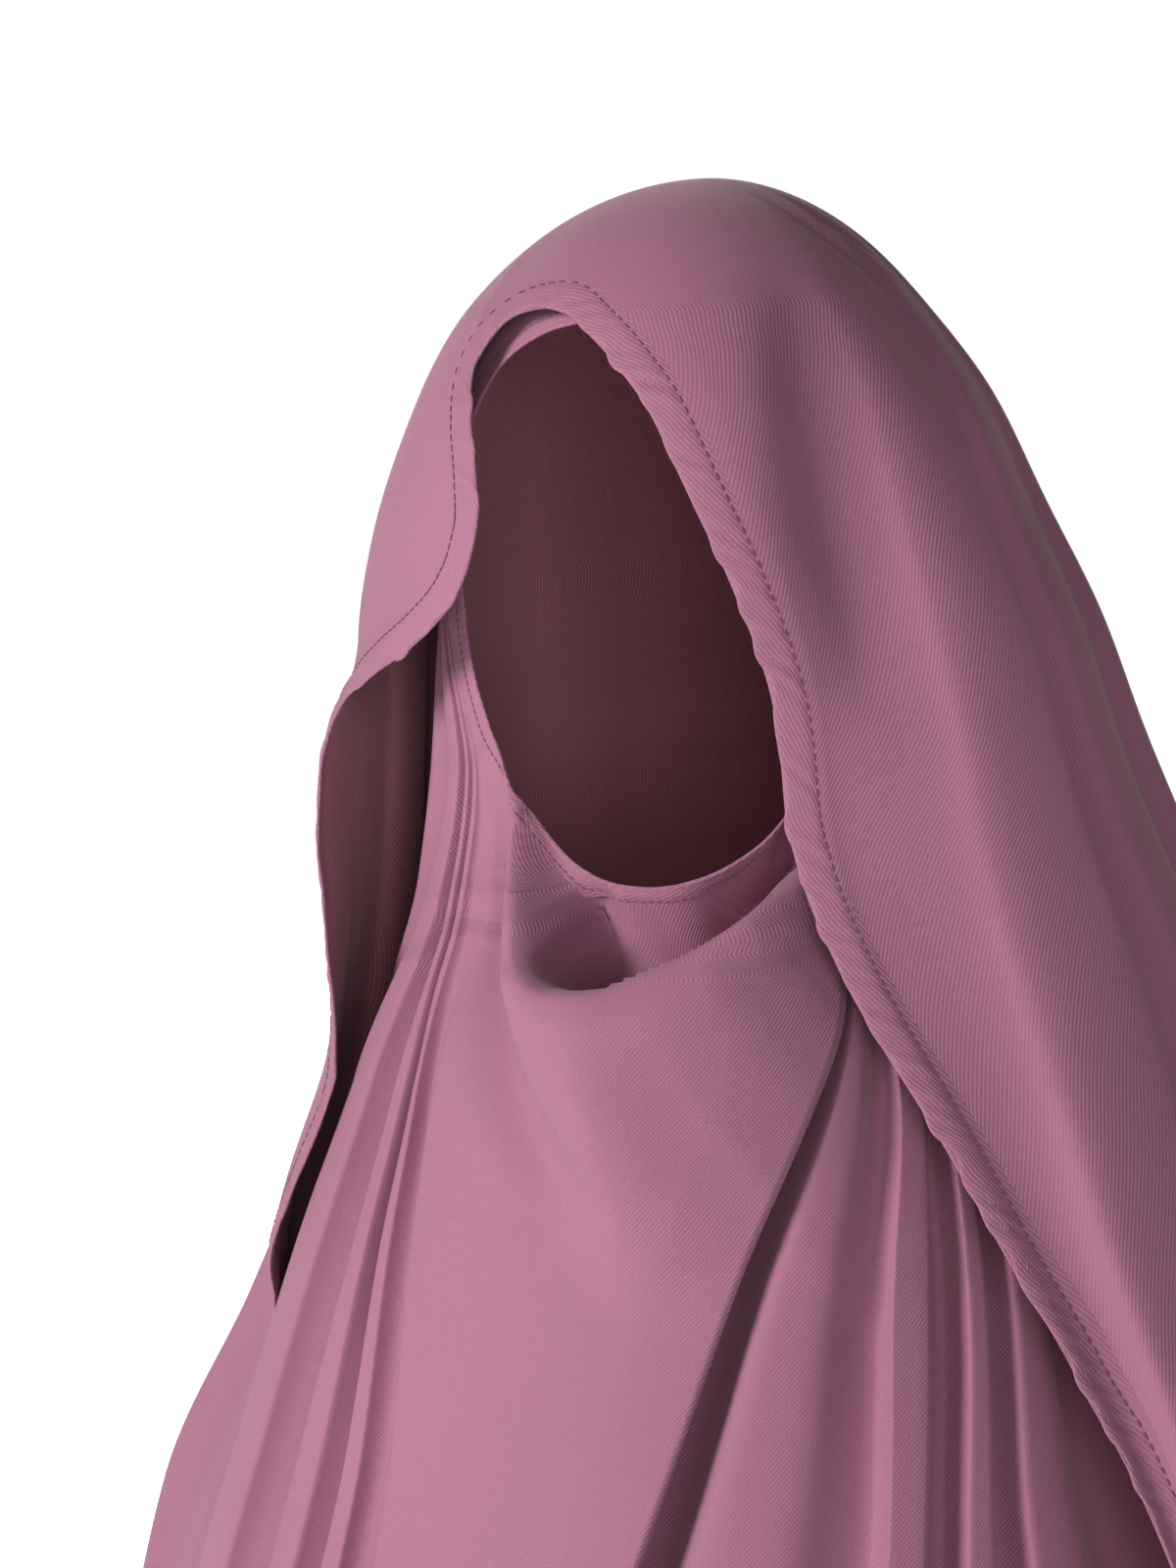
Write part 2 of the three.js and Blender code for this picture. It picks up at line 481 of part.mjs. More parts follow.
const innerPlace = foldedSurface(
  innerFolds,
  (drop) => (inFace(drop) ? rightFace(faceDrop(drop)) : centreFirst(drop / veilLength)),
  (drop) => (inFace(drop) ? 360 + leftFace(faceDrop(drop)) : centreLast(drop / veilLength)),
  innerDrop,
  (angle, drop, out) => {
    const { away, along } = nearCrest(angle > 180 ? angle - 360 : angle, drop);
    const place = away / (away < 0 ? crestInside(along) * cowlReach : cowlReach);
    const cowlOut = crestReach(along) * cowlReach * profileOut(place);
    const seat = wall + layerGap;
    const up = upwardAt(drop);
    const folded = out * smooth(...foldsFrom, place);
    const radius = innerRadius(drop, angle) + folded - seat * Math.sqrt(1 - up * up);
    return cylinderPoint(angle, radius + cowlOut, drop + seat * up);
  },
);

// Places of the grid's columns: inEdge columns in the first and last fold interval, one in
// each plain interval and fold columns in the others.
function columnPlaces(span, inEdge, isPlain) {
  const places = [];
  for (let fold = 0; fold < span; fold += 1) {
    const inFold = isPlain(fold) ? 1 : foldColumns;
    const count = fold === 0 || fold === span - 1 ? inEdge : inFold;
    for (let k = 0; k < count; k += 1) places.push(fold + k / count);
  }
  return [...places, span];
}

// A grid of points on a surface, from the crown's pole down to the bottom hem.
const sampleRows = (place, columns, rowCount) =>
  Array.from({ length: rowCount + 1 }, (_, row) => columns.map((u) => place(u, row / rowCount)));

// Welds the first and last point of each row that isClosed names.
function weldRows(rows, isClosed) {
  rows.forEach((row, i) => {
    if (!isClosed(i)) return;
    const middle = row[0].clone().add(row[row.length - 1]).multiplyScalar(0.5);
    row[0].copy(middle);
    row[row.length - 1].copy(middle);
  });
  return rows;
}

// Outward unit normals of a grid, from its neighbours along and across.
function gridNormals(rows, isClosed) {
  const lastCol = rows[0].length - 1;
  return rows.map((row, i) => row.map((point, j) => {
    if (i === 0) return new THREE.Vector3(0, 0, 1);
    const wraps = isClosed(i);
    const before = j > 0 ? row[j - 1] : wraps ? row[lastCol - 1] : row[0];
    const after = j < lastCol ? row[j + 1] : wraps ? row[1] : row[lastCol];
    const above = rows[i - 1][j];
    const below = rows[Math.min(i + 1, rows.length - 1)][j];
    const across = after.clone().sub(before);
    const down = below.clone().sub(above);
    return down.cross(across).normalize();
  }));
}

const offsetRows = (rows, normals, distance) =>
  rows.map((row, i) => row.map((point, j) => point.clone().addScaledVector(normals[i][j], distance)));

const triangle = (list, a, b, c) => {
  if (a.distanceTo(b) > 1e-6 && b.distanceTo(c) > 1e-6 && c.distanceTo(a) > 1e-6) list.push(a, b, c);
};
const quad = (list, a, b, c, d) => {
  triangle(list, a, b, c);
  triangle(list, a, c, d);
};

function meshFromTriangles(points) {
  const geometry = new THREE.BufferGeometry().setFromPoints(points);
  return mergeVertices(geometry, 1e-5);
}

// A cloth wall between an outer and an inner grid. openEdge(i) tells whether the slit between
// rows i and i + 1 is open, so that its two sides get an edge.
function clothSolid(outer, inner, openEdge) {
  const list = [];
  const lastRow = outer.length - 1;
  const lastCol = outer[0].length - 1;
  for (let i = 0; i < lastRow; i += 1) {
    for (let j = 0; j < lastCol; j += 1) {
      quad(list, outer[i][j], outer[i + 1][j], outer[i + 1][j + 1], outer[i][j + 1]);
      quad(list, inner[i][j], inner[i][j + 1], inner[i + 1][j + 1], inner[i + 1][j]);
    }
    if (openEdge(i)) {
      quad(list, outer[i][0], inner[i][0], inner[i + 1][0], outer[i + 1][0]);
      quad(list, outer[i][lastCol], outer[i + 1][lastCol], inner[i + 1][lastCol], inner[i][lastCol]);
    }
  }
  for (let j = 0; j < lastCol; j += 1) {
    quad(list, outer[lastRow][j], inner[lastRow][j], inner[lastRow][j + 1], outer[lastRow][j + 1]);
  }
  return meshFromTriangles(list);
}

// A strip that runs along an edge: each station has a start point on the edge, a direction
// into the cloth and the cloth's normal. It lies under the cloth by a gap, and may stand
// proud of the edge.
function stripSolid(stationsAlong, { width, under, thickness, proud, closed }) {
  const ring = stationsAlong.map(({ point, inward, normal }) => {
    const topEdge = point.clone().addScaledVector(normal, -under).addScaledVector(inward, -proud);
    const topBack = topEdge.clone().addScaledVector(inward, width + proud);
    const bottomBack = topBack.clone().addScaledVector(normal, -thickness);
    const bottomEdge = topEdge.clone().addScaledVector(normal, -thickness);
    return [topEdge, topBack, bottomBack, bottomEdge];
  });
  const list = [];
  const spans = closed ? ring.length : ring.length - 1;
  for (let i = 0; i < spans; i += 1) {
    const here = ring[i];
    const next = ring[(i + 1) % ring.length];
    here.forEach((corner, k) => {
      const m = (k + 1) % here.length;
      quad(list, here[k], next[k], next[m], here[m]);
    });
  }
  if (!closed) {
    const start = ring[0];
    const end = ring[ring.length - 1];
    quad(list, start[0], start[1], start[2], start[3]);
    quad(list, end[3], end[2], end[1], end[0]);
  }
  return meshFromTriangles(list);
}

function toSolid(geometry) {
  const vertProperties = Float32Array.from(geometry.attributes.position.array);
  const triVerts = Uint32Array.from(geometry.index.array);
  return new wasm.Manifold(new wasm.Mesh({ numProp: 3, vertProperties, triVerts }));
}

function fromSolid(solid) {
  const { vertProperties, triVerts } = solid.getMesh();
  const geometry = new THREE.BufferGeometry();
  geometry.setAttribute('position', new THREE.BufferAttribute(vertProperties, 3));
  geometry.setIndex(new THREE.BufferAttribute(triVerts, 1));
  return geometry;
}

// Takes away from a strip whatever comes nearer to a cloth wall than the clearance, and the
// slivers that this cuts loose.
function cutClear(strip, cloth) {
  const above = offsetRows(cloth.rows, cloth.normals, clearance);
  const below = offsetRows(cloth.rows, cloth.normals, -wall - clearance);
  [above, below].forEach((rows) => weldRows(rows, cloth.closedRow));
  const pieces = toSolid(strip).subtract(toSolid(clothSolid(above, below, cloth.openEdge))).decompose();
  return fromSolid(pieces.sort((a, b) => b.volume() - a.volume())[0]);
}

// Stations along an edge of a grid, given as [row, column] pairs: the direction into the cloth
// is square to the edge and to the cloth's normal.
function edgeStations(rows, normals, places, closed) {
  const points = places.map(([i, j]) => rows[i][j]);
  const count = points.length;
  return places.map(([i, j], k) => {
    const before = points[closed ? (k + count - 1) % count : Math.max(k - 1, 0)];
    const after = points[closed ? (k + 1) % count : Math.min(k + 1, count - 1)];
    const normal = normals[i][j];
    const inward = normal.clone().cross(after.clone().sub(before)).normalize();
    return { point: points[k], inward, normal };
  });
}

function clothMesh(name, geometry, color, roughness) {
  const cloth = new THREE.MeshStandardMaterial({ color, roughness, metalness: 0, side: THREE.DoubleSide });
  const mesh = new THREE.Mesh(geometry, cloth);
  mesh.name = name;
  return mesh;
}

function makeOuterVeil() {
  const rowCount = outerRows.closed + outerRows.open;
  const closedRow = (i) => i <= outerRows.closed;
  const columns = columnPlaces(outerSpan, edgeColumns, () => false);
  const rows = weldRows(sampleRows(outerPlace, columns, rowCount), closedRow);
  const normals = gridNormals(rows, closedRow);
  const inside = weldRows(offsetRows(rows, normals, -wall), closedRow);
  const openEdge = (i) => i >= outerRows.closed;
  return { rows, normals, closedRow, openEdge, geometry: clothSolid(rows, inside, openEdge) };
}

function makeFrontHem(veil) {
  const lastCol = veil.rows[0].length - 1;
  const openRows = Array.from({ length: outerRows.open }, (_, k) => outerRows.closed + 1 + k);
  const left = openRows.map((i) => [i, lastCol]).reverse();
  const right = openRows.map((i) => [i, 0]);
  const along = edgeStations(veil.rows, veil.normals, [...left, [outerRows.closed, 0], ...right], false);
  const shape = { width: hemTurn, under: wall + hemGap, thickness: hemWall, proud: 0, closed: false };
  return cutClear(stripSolid(along, shape), veil);
}

// Fold intervals of the inner khimar that lie wholly under the outer veil.
const covered = { from: 74, to: 290 }; // angles at the cheek
const isCovered = (fold) =>
  innerFolds[fold].cheek >= covered.from && innerFolds[fold + 1].cheek <= covered.to;

function makeInnerKhimar() {
  const face = { first: innerRows.brow, last: innerRows.brow + innerRows.face };
  const closedRow = (i) => i <= face.first || i >= face.last;
  const columns = columnPlaces(innerSpan, cowlColumns, isCovered);
  const rows = weldRows(sampleRows(innerPlace, columns, innerRowCount), closedRow);
  const normals = gridNormals(rows, closedRow);
  const inside = weldRows(offsetRows(rows, normals, -wall), closedRow);
  const openEdge = (i) => i >= face.first && i < face.last;
  return { rows, normals, face, closedRow, openEdge, geometry: clothSolid(rows, inside, openEdge) };
}

function makeFaceBinding(khimar) {
  const lastCol = khimar.rows[0].length - 1;
  const { first, last } = khimar.face;
  const between = Array.from({ length: last - first - 1 }, (_, k) => first + 1 + k);
  const right = between.map((i) => [i, 0]);
  const left = between.map((i) => [i, lastCol]).reverse();
  const along = edgeStations(khimar.rows, khimar.normals, [[first, 0], ...right, [last, 0], ...left], true);
  const under = wall + bindingGap;
  const shape = { width: bindingWidth, under, thickness: bindingWall, proud: bindingProud, closed: true };
  return cutClear(stripSolid(along, shape), khimar);
}

const outerVeil = makeOuterVeil();
const innerKhimar = makeInnerKhimar();

const group = new THREE.Group();
group.add(clothMesh('outer_veil', outerVeil.geometry, 0x9c6880, 0.72));
group.add(clothMesh('front_hem', makeFrontHem(outerVeil), 0x96637b, 0.74));
group.add(clothMesh('inner_khimar', innerKhimar.geometry, 0x98657d, 0.72));
group.add(clothMesh('face_binding', makeFaceBinding(innerKhimar), 0x8c5a70, 0.7));

export default group;
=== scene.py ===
import math

import bpy
import numpy as np
from mathutils import Matrix, Vector


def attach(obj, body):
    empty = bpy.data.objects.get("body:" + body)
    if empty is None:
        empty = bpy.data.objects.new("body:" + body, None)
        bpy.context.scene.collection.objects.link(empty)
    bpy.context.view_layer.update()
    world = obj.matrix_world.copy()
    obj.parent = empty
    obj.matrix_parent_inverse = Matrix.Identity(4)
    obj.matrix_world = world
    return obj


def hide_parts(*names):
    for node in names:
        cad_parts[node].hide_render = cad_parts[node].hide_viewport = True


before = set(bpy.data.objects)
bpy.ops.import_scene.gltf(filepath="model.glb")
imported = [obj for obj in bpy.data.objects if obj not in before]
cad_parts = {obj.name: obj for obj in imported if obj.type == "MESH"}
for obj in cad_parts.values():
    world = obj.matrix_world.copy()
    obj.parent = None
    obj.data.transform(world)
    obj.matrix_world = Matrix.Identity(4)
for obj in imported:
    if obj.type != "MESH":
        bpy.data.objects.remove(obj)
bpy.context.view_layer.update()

# Metres throughout. The face looks towards -Y, and a drop is a depth below the crown.
# An angle is measured from straight ahead towards +X, so 90 is the wearer's left.
veil = {
    "length": 0.720,  # crown to bottom hem
    "width": 0.590,
    "depth": 0.528,
    "foldDepth": 0.030,
    "browDrop": 0.037,  # crown down to the top of the hood's front edge
    "faceTop": 0.038,  # crown down to the top of the face opening
    "faceHeight": 0.178,
    "cowlReach": 0.028,
    "cloth": 0.0006,  # thickness of the cloth
    "layerGap": 0.0022,  # the inner khimar's crown lies this far under the hood's
    "perDegree": 0.00183,  # metres across the cloth for each degree, for the lines drawn on it
}
chinDrop = veil["faceTop"] + veil["faceHeight"]


# Curves and blends

def curveThrough(xs, ys):
    # monotone cubic through the points: y = h00 y0 + h10 w m0 + h01 y1 + h11 w m1, flat beyond both ends
    xs, ys = np.asarray(xs, float), np.asarray(ys, float)
    widths = np.diff(xs)
    slopes = np.diff(ys) / widths
    tangents = np.concatenate([slopes[:1], np.zeros(len(xs) - 2), slopes[-1:]])
    before, after = slopes[:-1], slopes[1:]
    same = before * after > 0
    near, far = 2 * widths[1:] + widths[:-1], widths[1:] + 2 * widths[:-1]
    mean = (near + far) / (near / np.where(same, before, 1) + far / np.where(same, after, 1))
    tangents[1:-1] = np.where(same, mean, 0)

    def at(x):
        x = np.clip(x, xs[0], xs[-1])
        i = np.clip(np.searchsorted(xs, x, side="right") - 1, 0, len(widths) - 1)
        t = (x - xs[i]) / widths[i]
        start = (1 + 2 * t) * (1 - t) ** 2 * ys[i] + t * (1 - t) ** 2 * widths[i] * tangents[i]
        return start + t * t * (3 - 2 * t) * ys[i + 1] + t * t * (t - 1) * widths[i] * tangents[i + 1]

    return at


def columnCurve(rows, key, value, root=False):
    # curve through two columns of a table, over the key's square root where root is set
    keys = np.array([row[key] for row in rows], float)
    curve = curveThrough(np.sqrt(keys) if root else keys, [row[value] for row in rows])
    return (lambda x: curve(np.sqrt(np.clip(x, 0, None)))) if root else curve


def smoothStep(low, high, x):
    # 0 below low, 1 above high, 3t^2 - 2t^3 between
    t = np.clip((x - low) / (high - low), 0, 1)
    return t * t * (3 - 2 * t)


def mix(a, b, t):
    return a + (b - a) * t


def bump(x, width):
    # bell of height 1: exp(-(x / width)^2)
    return np.exp(-(x / width) ** 2)


def tableOf(names, rows):
    return [dict(zip(names, row)) for row in rows]


def lengthsAlong(points):
    # length of the line from its first point to each of its points
    return np.concatenate([[0], np.cumsum(np.linalg.norm(np.diff(points, axis=0), axis=1))])


def unit(vectors):
    return vectors / np.linalg.norm(vectors, axis=-1, keepdims=True)


def fromFront(angle):
    # the same angle between -180 and 180
    return np.where(angle > 180, angle - 360, angle)


# Level sections, shares of the length (drop), the width (right, left) and the depth (front, back)

outerSections = tableOf(("drop", "right", "left", "front", "back"), [
    (0, 0, 0, 0, 0),
    (0.029, 0.085, 0.1, 0.125, 0.125),
    (0.063, 0.122, 0.142, 0.17, 0.174),
    (0.104, 0.156, 0.17, 0.197, 0.22),
    (0.153, 0.183, 0.195, 0.205, 0.246),
    (0.208, 0.214, 0.212, 0.206, 0.265),
    (0.264, 0.237, 0.222, 0.21, 0.284),
    (0.319, 0.263, 0.231, 0.231, 0.303),
    (0.396, 0.302, 0.249, 0.277, 0.331),
    (0.472, 0.339, 0.281, 0.318, 0.364),
    (0.556, 0.38, 0.334, 0.367, 0.394),
    (0.661, 0.42, 0.403, 0.417, 0.428),
    (1, 0.508, 0.492, 0.504, 0.496),
])

# how far inside the hood the inner khimar lies, in the same shares
innerEase = tableOf(("drop", "right", "left", "front", "back"), [
    (0, 0, 0, 0, 0),
    (0.018, 0, 0, 0, 0),
    (0.036, 0.004, 0.006, 0.009, 0.004),
    (0.063, 0.007, 0.009, 0.014, 0.008),
    (0.104, 0.014, 0.016, 0.022, 0.019),
    (0.153, 0.027, 0.032, 0.026, 0.03),
    (0.208, 0.051, 0.045, 0.03, 0.042),
    (0.264, 0.068, 0.046, 0.036, 0.049),
    (0.319, 0.076, 0.042, 0.036, 0.057),
    (0.396, 0.083, 0.024, 0.018, 0.062),
    (0.472, 0.083, 0.018, 0.016, 0.064),
    (0.556, 0.083, 0.034, 0.016, 0.064),
    (0.661, 0.08, 0.06, 0.016, 0.06),
    (1, 0.092, 0.085, 0.026, 0.076),
])

sides = ("right", "left", "front", "back")
outerReach = {side: columnCurve(outerSections, "drop", side, root=True) for side in sides}
easeReach = {side: columnCurve(innerEase, "drop", side, root=True) for side in sides}
innerReach = {side: (lambda share, s=side: outerReach[s](share) - easeReach[s](share)) for side in sides}
crownRound = 0.125 * veil["length"]  # height of the rounded crown


def envelopeRadius(drop, angle, reach):
    # quarter ellipses between the four reaches: 1 / hypot(sin a / side, cos a / depth)
    share, a = drop / veil["length"], np.radians(angle)
    side = np.where(np.sin(a) >= 0, reach["right"](share), reach["left"](share)) * veil["width"]
    depth = np.where(np.cos(a) >= 0, reach["front"](share), reach["back"](share)) * veil["depth"]
    return 1 / np.hypot(np.sin(a) / np.maximum(side, 1e-6), np.cos(a) / np.maximum(depth, 1e-6))


def cylinderPoint(angle, radius, drop):
    # (r sin a, -r cos a, -drop)
    a = np.radians(angle)
    return np.stack([radius * np.sin(a), -radius * np.cos(a), -drop], axis=-1)


# Fold lines: angles at each station's height, the share in which a line follows the nearer
# front edge, its height at the cheek, chest and hem in fold depths, how narrow a valley is
# (pinch) and how steep its two sides stand (above 1 they overhang)

stations = {
    "crown": 0, "brow": 0.12, "temple": 0.19, "cheek": 0.26, "chin": 0.3, "neck": 0.34, "yoke": 0.39,
    "chest": 0.45, "bust": 0.56, "waist": 0.66, "hem": 1,
}
browPart = 0.4  # a line's height at the brow, as a share of its height at the cheek


def fold(follow, out, pinch=(1.6, 1.6), steep=(0.6, 0.6), **angles):
    # one fold line: curves of its angle and its height over the share of the length
    names = [name for name in stations if name in angles]
    return {
        "follow": follow,
        "angle": curveThrough([stations[name] for name in names], [angles[name] for name in names]),
        "out": curveThrough([0, stations["brow"], stations["cheek"], stations["chest"], stations["hem"]],
                            [0, out[0] * browPart, *out]),
        "pinch": pinch,
        "steep": steep,
    }


def evenFolds(names, rows):
    # plain fold lines from rows of their heights and their angles at the named stations
    return [fold(0, out, **dict(zip(names, angles))) for out, *angles in rows]


outerFolds = [
    fold(1, (0, 0, 0), cheek=30, chest=50, hem=55),  # right front edge
    fold(0.35, (-0.05, -0.08, -0.1), crown=40, brow=40, cheek=40, chest=49, bust=51.7, hem=57),
    fold(0, (0.2, 0.3, 0.3), crown=66, brow=60, temple=61, cheek=61.5, neck=60, yoke=57, chest=54.5,
         bust=54, hem=60),
    fold(0, (-0.62, -0.75, -0.8), (3, 1.6), (0.9, 0.5), crown=80, brow=71, temple=70.5, cheek=70, neck=71.5,
         yoke=72, chest=73, hem=76),
    *evenFolds(("crown", "brow", "cheek", "chest", "hem"), [
        ((-0.08, -0.1, 0), 92, 85, 81, 86, 90),
        ((-0.3, -0.45, -0.6), 102, 98, 93, 98, 103),
        ((0.05, 0.1, 0.2), 114, 111, 109, 112, 116),
        ((-0.3, -0.5, -0.7), 126, 124, 123, 126, 129),
        ((0.05, 0.1, 0.2), 139, 138, 138, 140, 142),
        ((-0.3, -0.5, -0.75), 152, 151, 152, 153, 154),
        ((0.05, 0.12, 0.25), 166, 165, 166, 166, 166),
        ((-0.25, -0.45, -0.7), 179, 179, 179, 178, 178),
        ((0.05, 0.1, 0.2), 192, 193, 192, 191, 190),
        ((-0.28, -0.5, -0.75), 206, 207, 206, 204, 203),
        ((0.05, 0.12, 0.25), 220, 221, 220, 218, 216),
        ((-0.25, -0.4, -0.65), 234, 235, 233, 231, 229),
        ((0.04, 0.1, 0.2), 248, 248, 246, 245, 243),
        ((-0.15, -0.25, -0.5), 261, 260, 257, 256, 255),
    ]),
    fold(0.1, (0.03, 0.05, 0.15), crown=275, brow=272, cheek=267, chest=266, hem=266),
    fold(0.5, (-0.04, -0.05, -0.2), crown=295, brow=290, cheek=277, chest=277, hem=275),
    fold(1, (0, 0, 0), cheek=288, chest=296, hem=282),  # left front edge
]

innerFolds = [
    fold(1, (0, 0, 0), cheek=-1, neck=-1, chest=-8, bust=-14, waist=-20, hem=-28),  # centre front
    fold(0, (0, 0.04, 0.08), temple=51, cheek=37, chin=35, neck=31.6, yoke=22.8, chest=14.2, bust=3.6,
         waist=-4, hem=-14),  # the bib's edge
    fold(0, (-0.2, -0.95, -0.05), (0.8, 2), (0.3, 0.7), temple=52, cheek=38, chin=35.8, neck=31.4, yoke=22.3,
         chest=12.8, bust=2, waist=-5.3, hem=-15),
    fold(0, (0, -0.04, 0), temple=53, cheek=39.5, chin=37.4, neck=34, yoke=28.5, chest=22, bust=13.6,
         waist=7, hem=1),
    fold(0, (-0.06, -0.32, -0.4), (1.4, 4), (0.3, 0.9), temple=54.5, cheek=41.5, chin=39.8, neck=36.5,
         yoke=34.5, chest=31, bust=26, waist=21, hem=14),
    fold(0, (0, 0, 0.05), temple=56, cheek=43.5, chin=42, neck=39.5, yoke=37.6, chest=33.4, bust=28,
         waist=24, hem=19),
    fold(0, (-0.08, -0.44, -0.5), (4, 4), (0.8, 0.8), temple=57.5, cheek=46, chin=45, neck=42.8, yoke=42,
         chest=40.6, bust=33.8, waist=30, hem=26),
    fold(0, (0, 0, 0), temple=59, cheek=48.5, chin=47.5, neck=45.5, yoke=44.6, chest=43, bust=36.6,
         waist=33, hem=31),
    fold(0, (-0.08, -0.4, -0.5), (3, 3), (0.7, 0.7), temple=61, cheek=51.5, chin=50.4, neck=48, yoke=47,
         chest=46, bust=39.8, waist=37, hem=38),
    fold(0, (0, 0, 0), temple=63.5, cheek=55, chin=53.8, neck=52, yoke=51, chest=49.8, bust=44,
         waist=43, hem=46),
    fold(0, (-0.1, -0.3, -0.45), (2, 2), temple=67, cheek=60.5, neck=60, chest=56, bust=53, waist=53, hem=58),
    *evenFolds(("cheek", "chest", "hem"), [
        ((0, 0, 0), 74, 73, 74),
        ((-0.08, -0.2, -0.4), 90, 91, 92),
        ((0, 0, 0), 112, 112, 112),
        ((-0.08, -0.2, -0.45), 134, 134, 134),
        ((0, 0, 0), 157, 157, 157),
        ((-0.08, -0.2, -0.45), 180, 180, 180),
        ((0, 0, 0), 203, 203, 203),
        ((-0.08, -0.2, -0.45), 226, 226, 226),
        ((0, 0, 0), 248, 248, 248),
        ((-0.08, -0.2, -0.4), 268, 263, 262),
    ]),
    fold(0, (0, -0.2, -0.5), temple=284.5, cheek=287, neck=281, chest=276, hem=275),
    fold(0, (-0.12, -0.75, -1.1), (1.5, 1.5), temple=289, cheek=298, neck=293, chest=289, hem=288),
    fold(0, (0, 0.06, 0.12), temple=296, cheek=306.5, chin=306, neck=305, chest=304, bust=305, hem=303),
    fold(0, (-0.24, -0.5, -0.5), (3, 2.2), (0.9, 0.6), temple=299, cheek=311, chin=311, neck=312, yoke=314.5,
         chest=315.2, bust=315.8, hem=311),
    fold(0, (0, -0.03, -0.05), temple=300.5, cheek=312.5, chin=312.5, neck=313.7, yoke=317.5, chest=318.8,
         bust=320.5, hem=315),
    fold(0, (-0.1, -0.44, -0.46), (3, 2.2), (0.8, 0.6), temple=302, cheek=314, chin=314.2, neck=315.5,
         yoke=321, chest=322.3, bust=326, hem=319),
    fold(0, (0, -0.03, -0.05), temple=303.5, cheek=315.5, chin=315.7, neck=317, yoke=322.2, chest=324.5,
         bust=329, hem=323),
    fold(0, (-0.04, -0.26, -0.4), (3, 2.2), (0.8, 0.5), temple=305, cheek=317, chin=317.3, neck=319,
         yoke=323.4, chest=326.8, bust=332, hem=327),
    fold(0, (0, 0, 0), temple=307.5, cheek=322, chin=325, neck=329, yoke=330, chest=333, bust=338, hem=332),
    fold(1, (0, 0, 0), cheek=359, neck=359, chest=352, bust=346, waist=340, hem=332),  # centre front again
]


def foldedSurface(folds, dropAt, edgesAt, finish):
    # place(u, v): u counts fold lines, v runs from the crown to the bottom hem. Between a crest
    # and a valley the height is mix(crest, valley, ((1 - cos pi t) / 2)^pinch) and the angle is
    # mix(a0, a1, t + steep sin(2 pi t) / (2 pi)).
    last = len(folds) - 1

    def place(u, v):
        u, v = np.broadcast_arrays(np.asarray(u, float), np.asarray(v, float))
        drop = dropAt(u, v)
        share = drop / veil["length"]
        first, final = edgesAt(drop)
        angle, out = np.zeros_like(u), np.zeros_like(u)
        which = np.clip(np.floor(u).astype(int), 0, last - 1)
        for i in range(last):
            here = which == i
            if not here.any():
                continue
            t, s = u[here] - i, share[here]
            ends = []
            for k in (i, i + 1):
                line = folds[k]
                edge, own = (first, 0) if k < last / 2 else (final, last)
                drift = edge[here] - folds[own]["angle"](s)
                ends.append((line["angle"](s) + line["follow"] * drift, line["out"](s)))
            (angleNear, outNear), (angleFar, outFar) = ends
            down = outNear.mean() > outFar.mean()  # from a crest into a valley
            valley = folds[i + 1] if down else folds[i]
            steep = valley["steep"][0 if down else 1]
            turn = t + steep * np.sin(2 * np.pi * t) / (2 * np.pi)
            angle[here] = mix(angleNear, angleFar, turn)
            wave = (1 - np.cos(np.pi * t)) / 2 if down else (1 + np.cos(np.pi * t)) / 2
            crest, trough = (outNear, outFar) if down else (outFar, outNear)
            out[here] = mix(crest, trough, wave ** valley["pinch"][0 if down else 1]) * veil["foldDepth"]
        return finish(u, angle, drop, out)

    return place


# Lines drawn on the cloth

def nearLine(angle, drop, points, samples=160, tightest=0.3):
    # signed distance in metres from the curve through the points, positive on its left hand as
    # seen from outside, the place along it from 0 to 1, and the unit step square to it. The place
    # is the nearest sample's plus ahead = step along / (1 - bend away), held above tightest.
    points = np.array(points, float) * (veil["perDegree"], 1)
    lengths = lengthsAlong(points)
    s = np.linspace(0, lengths[-1], samples)
    x, y = (curveThrough(lengths, points[:, k])(s) for k in (0, 1))
    tangent = np.stack([np.gradient(x), np.gradient(y)])
    tangent /= np.linalg.norm(tangent, axis=0)
    bend = np.gradient(np.unwrap(np.arctan2(tangent[1], tangent[0])), s)
    px, py = angle * veil["perDegree"], drop
    nearest = np.argmin((px[..., None] - x) ** 2 + (py[..., None] - y) ** 2, axis=-1)
    dx, dy = px - x[nearest], py - y[nearest]
    tx, ty = tangent[:, nearest]
    away = dy * tx - dx * ty
    ahead = (dx * tx + dy * ty) / np.maximum(1 - bend[nearest] * away, tightest)
    along = np.clip((s[nearest] + ahead) / lengths[-1], 0, 1)
    return np.where((along == 0) | (along == 1), np.hypot(dx, dy), away), along, (-ty, tx)


def creaseHeight(creases, angle, drop):
    # sum of high sin(pi s) exp(-(d / wide)^2) over the lines, with d the distance from a line
    total = np.zeros_like(angle)
    for crease in creases:
        away, along, _ = nearLine(angle, drop, crease["points"])
        wide = np.where(away > 0, crease["wide"][0], crease["wide"][1])
        total += crease["high"] * np.sin(np.pi * along) * bump(away, wide)
    return total


# Outer veil

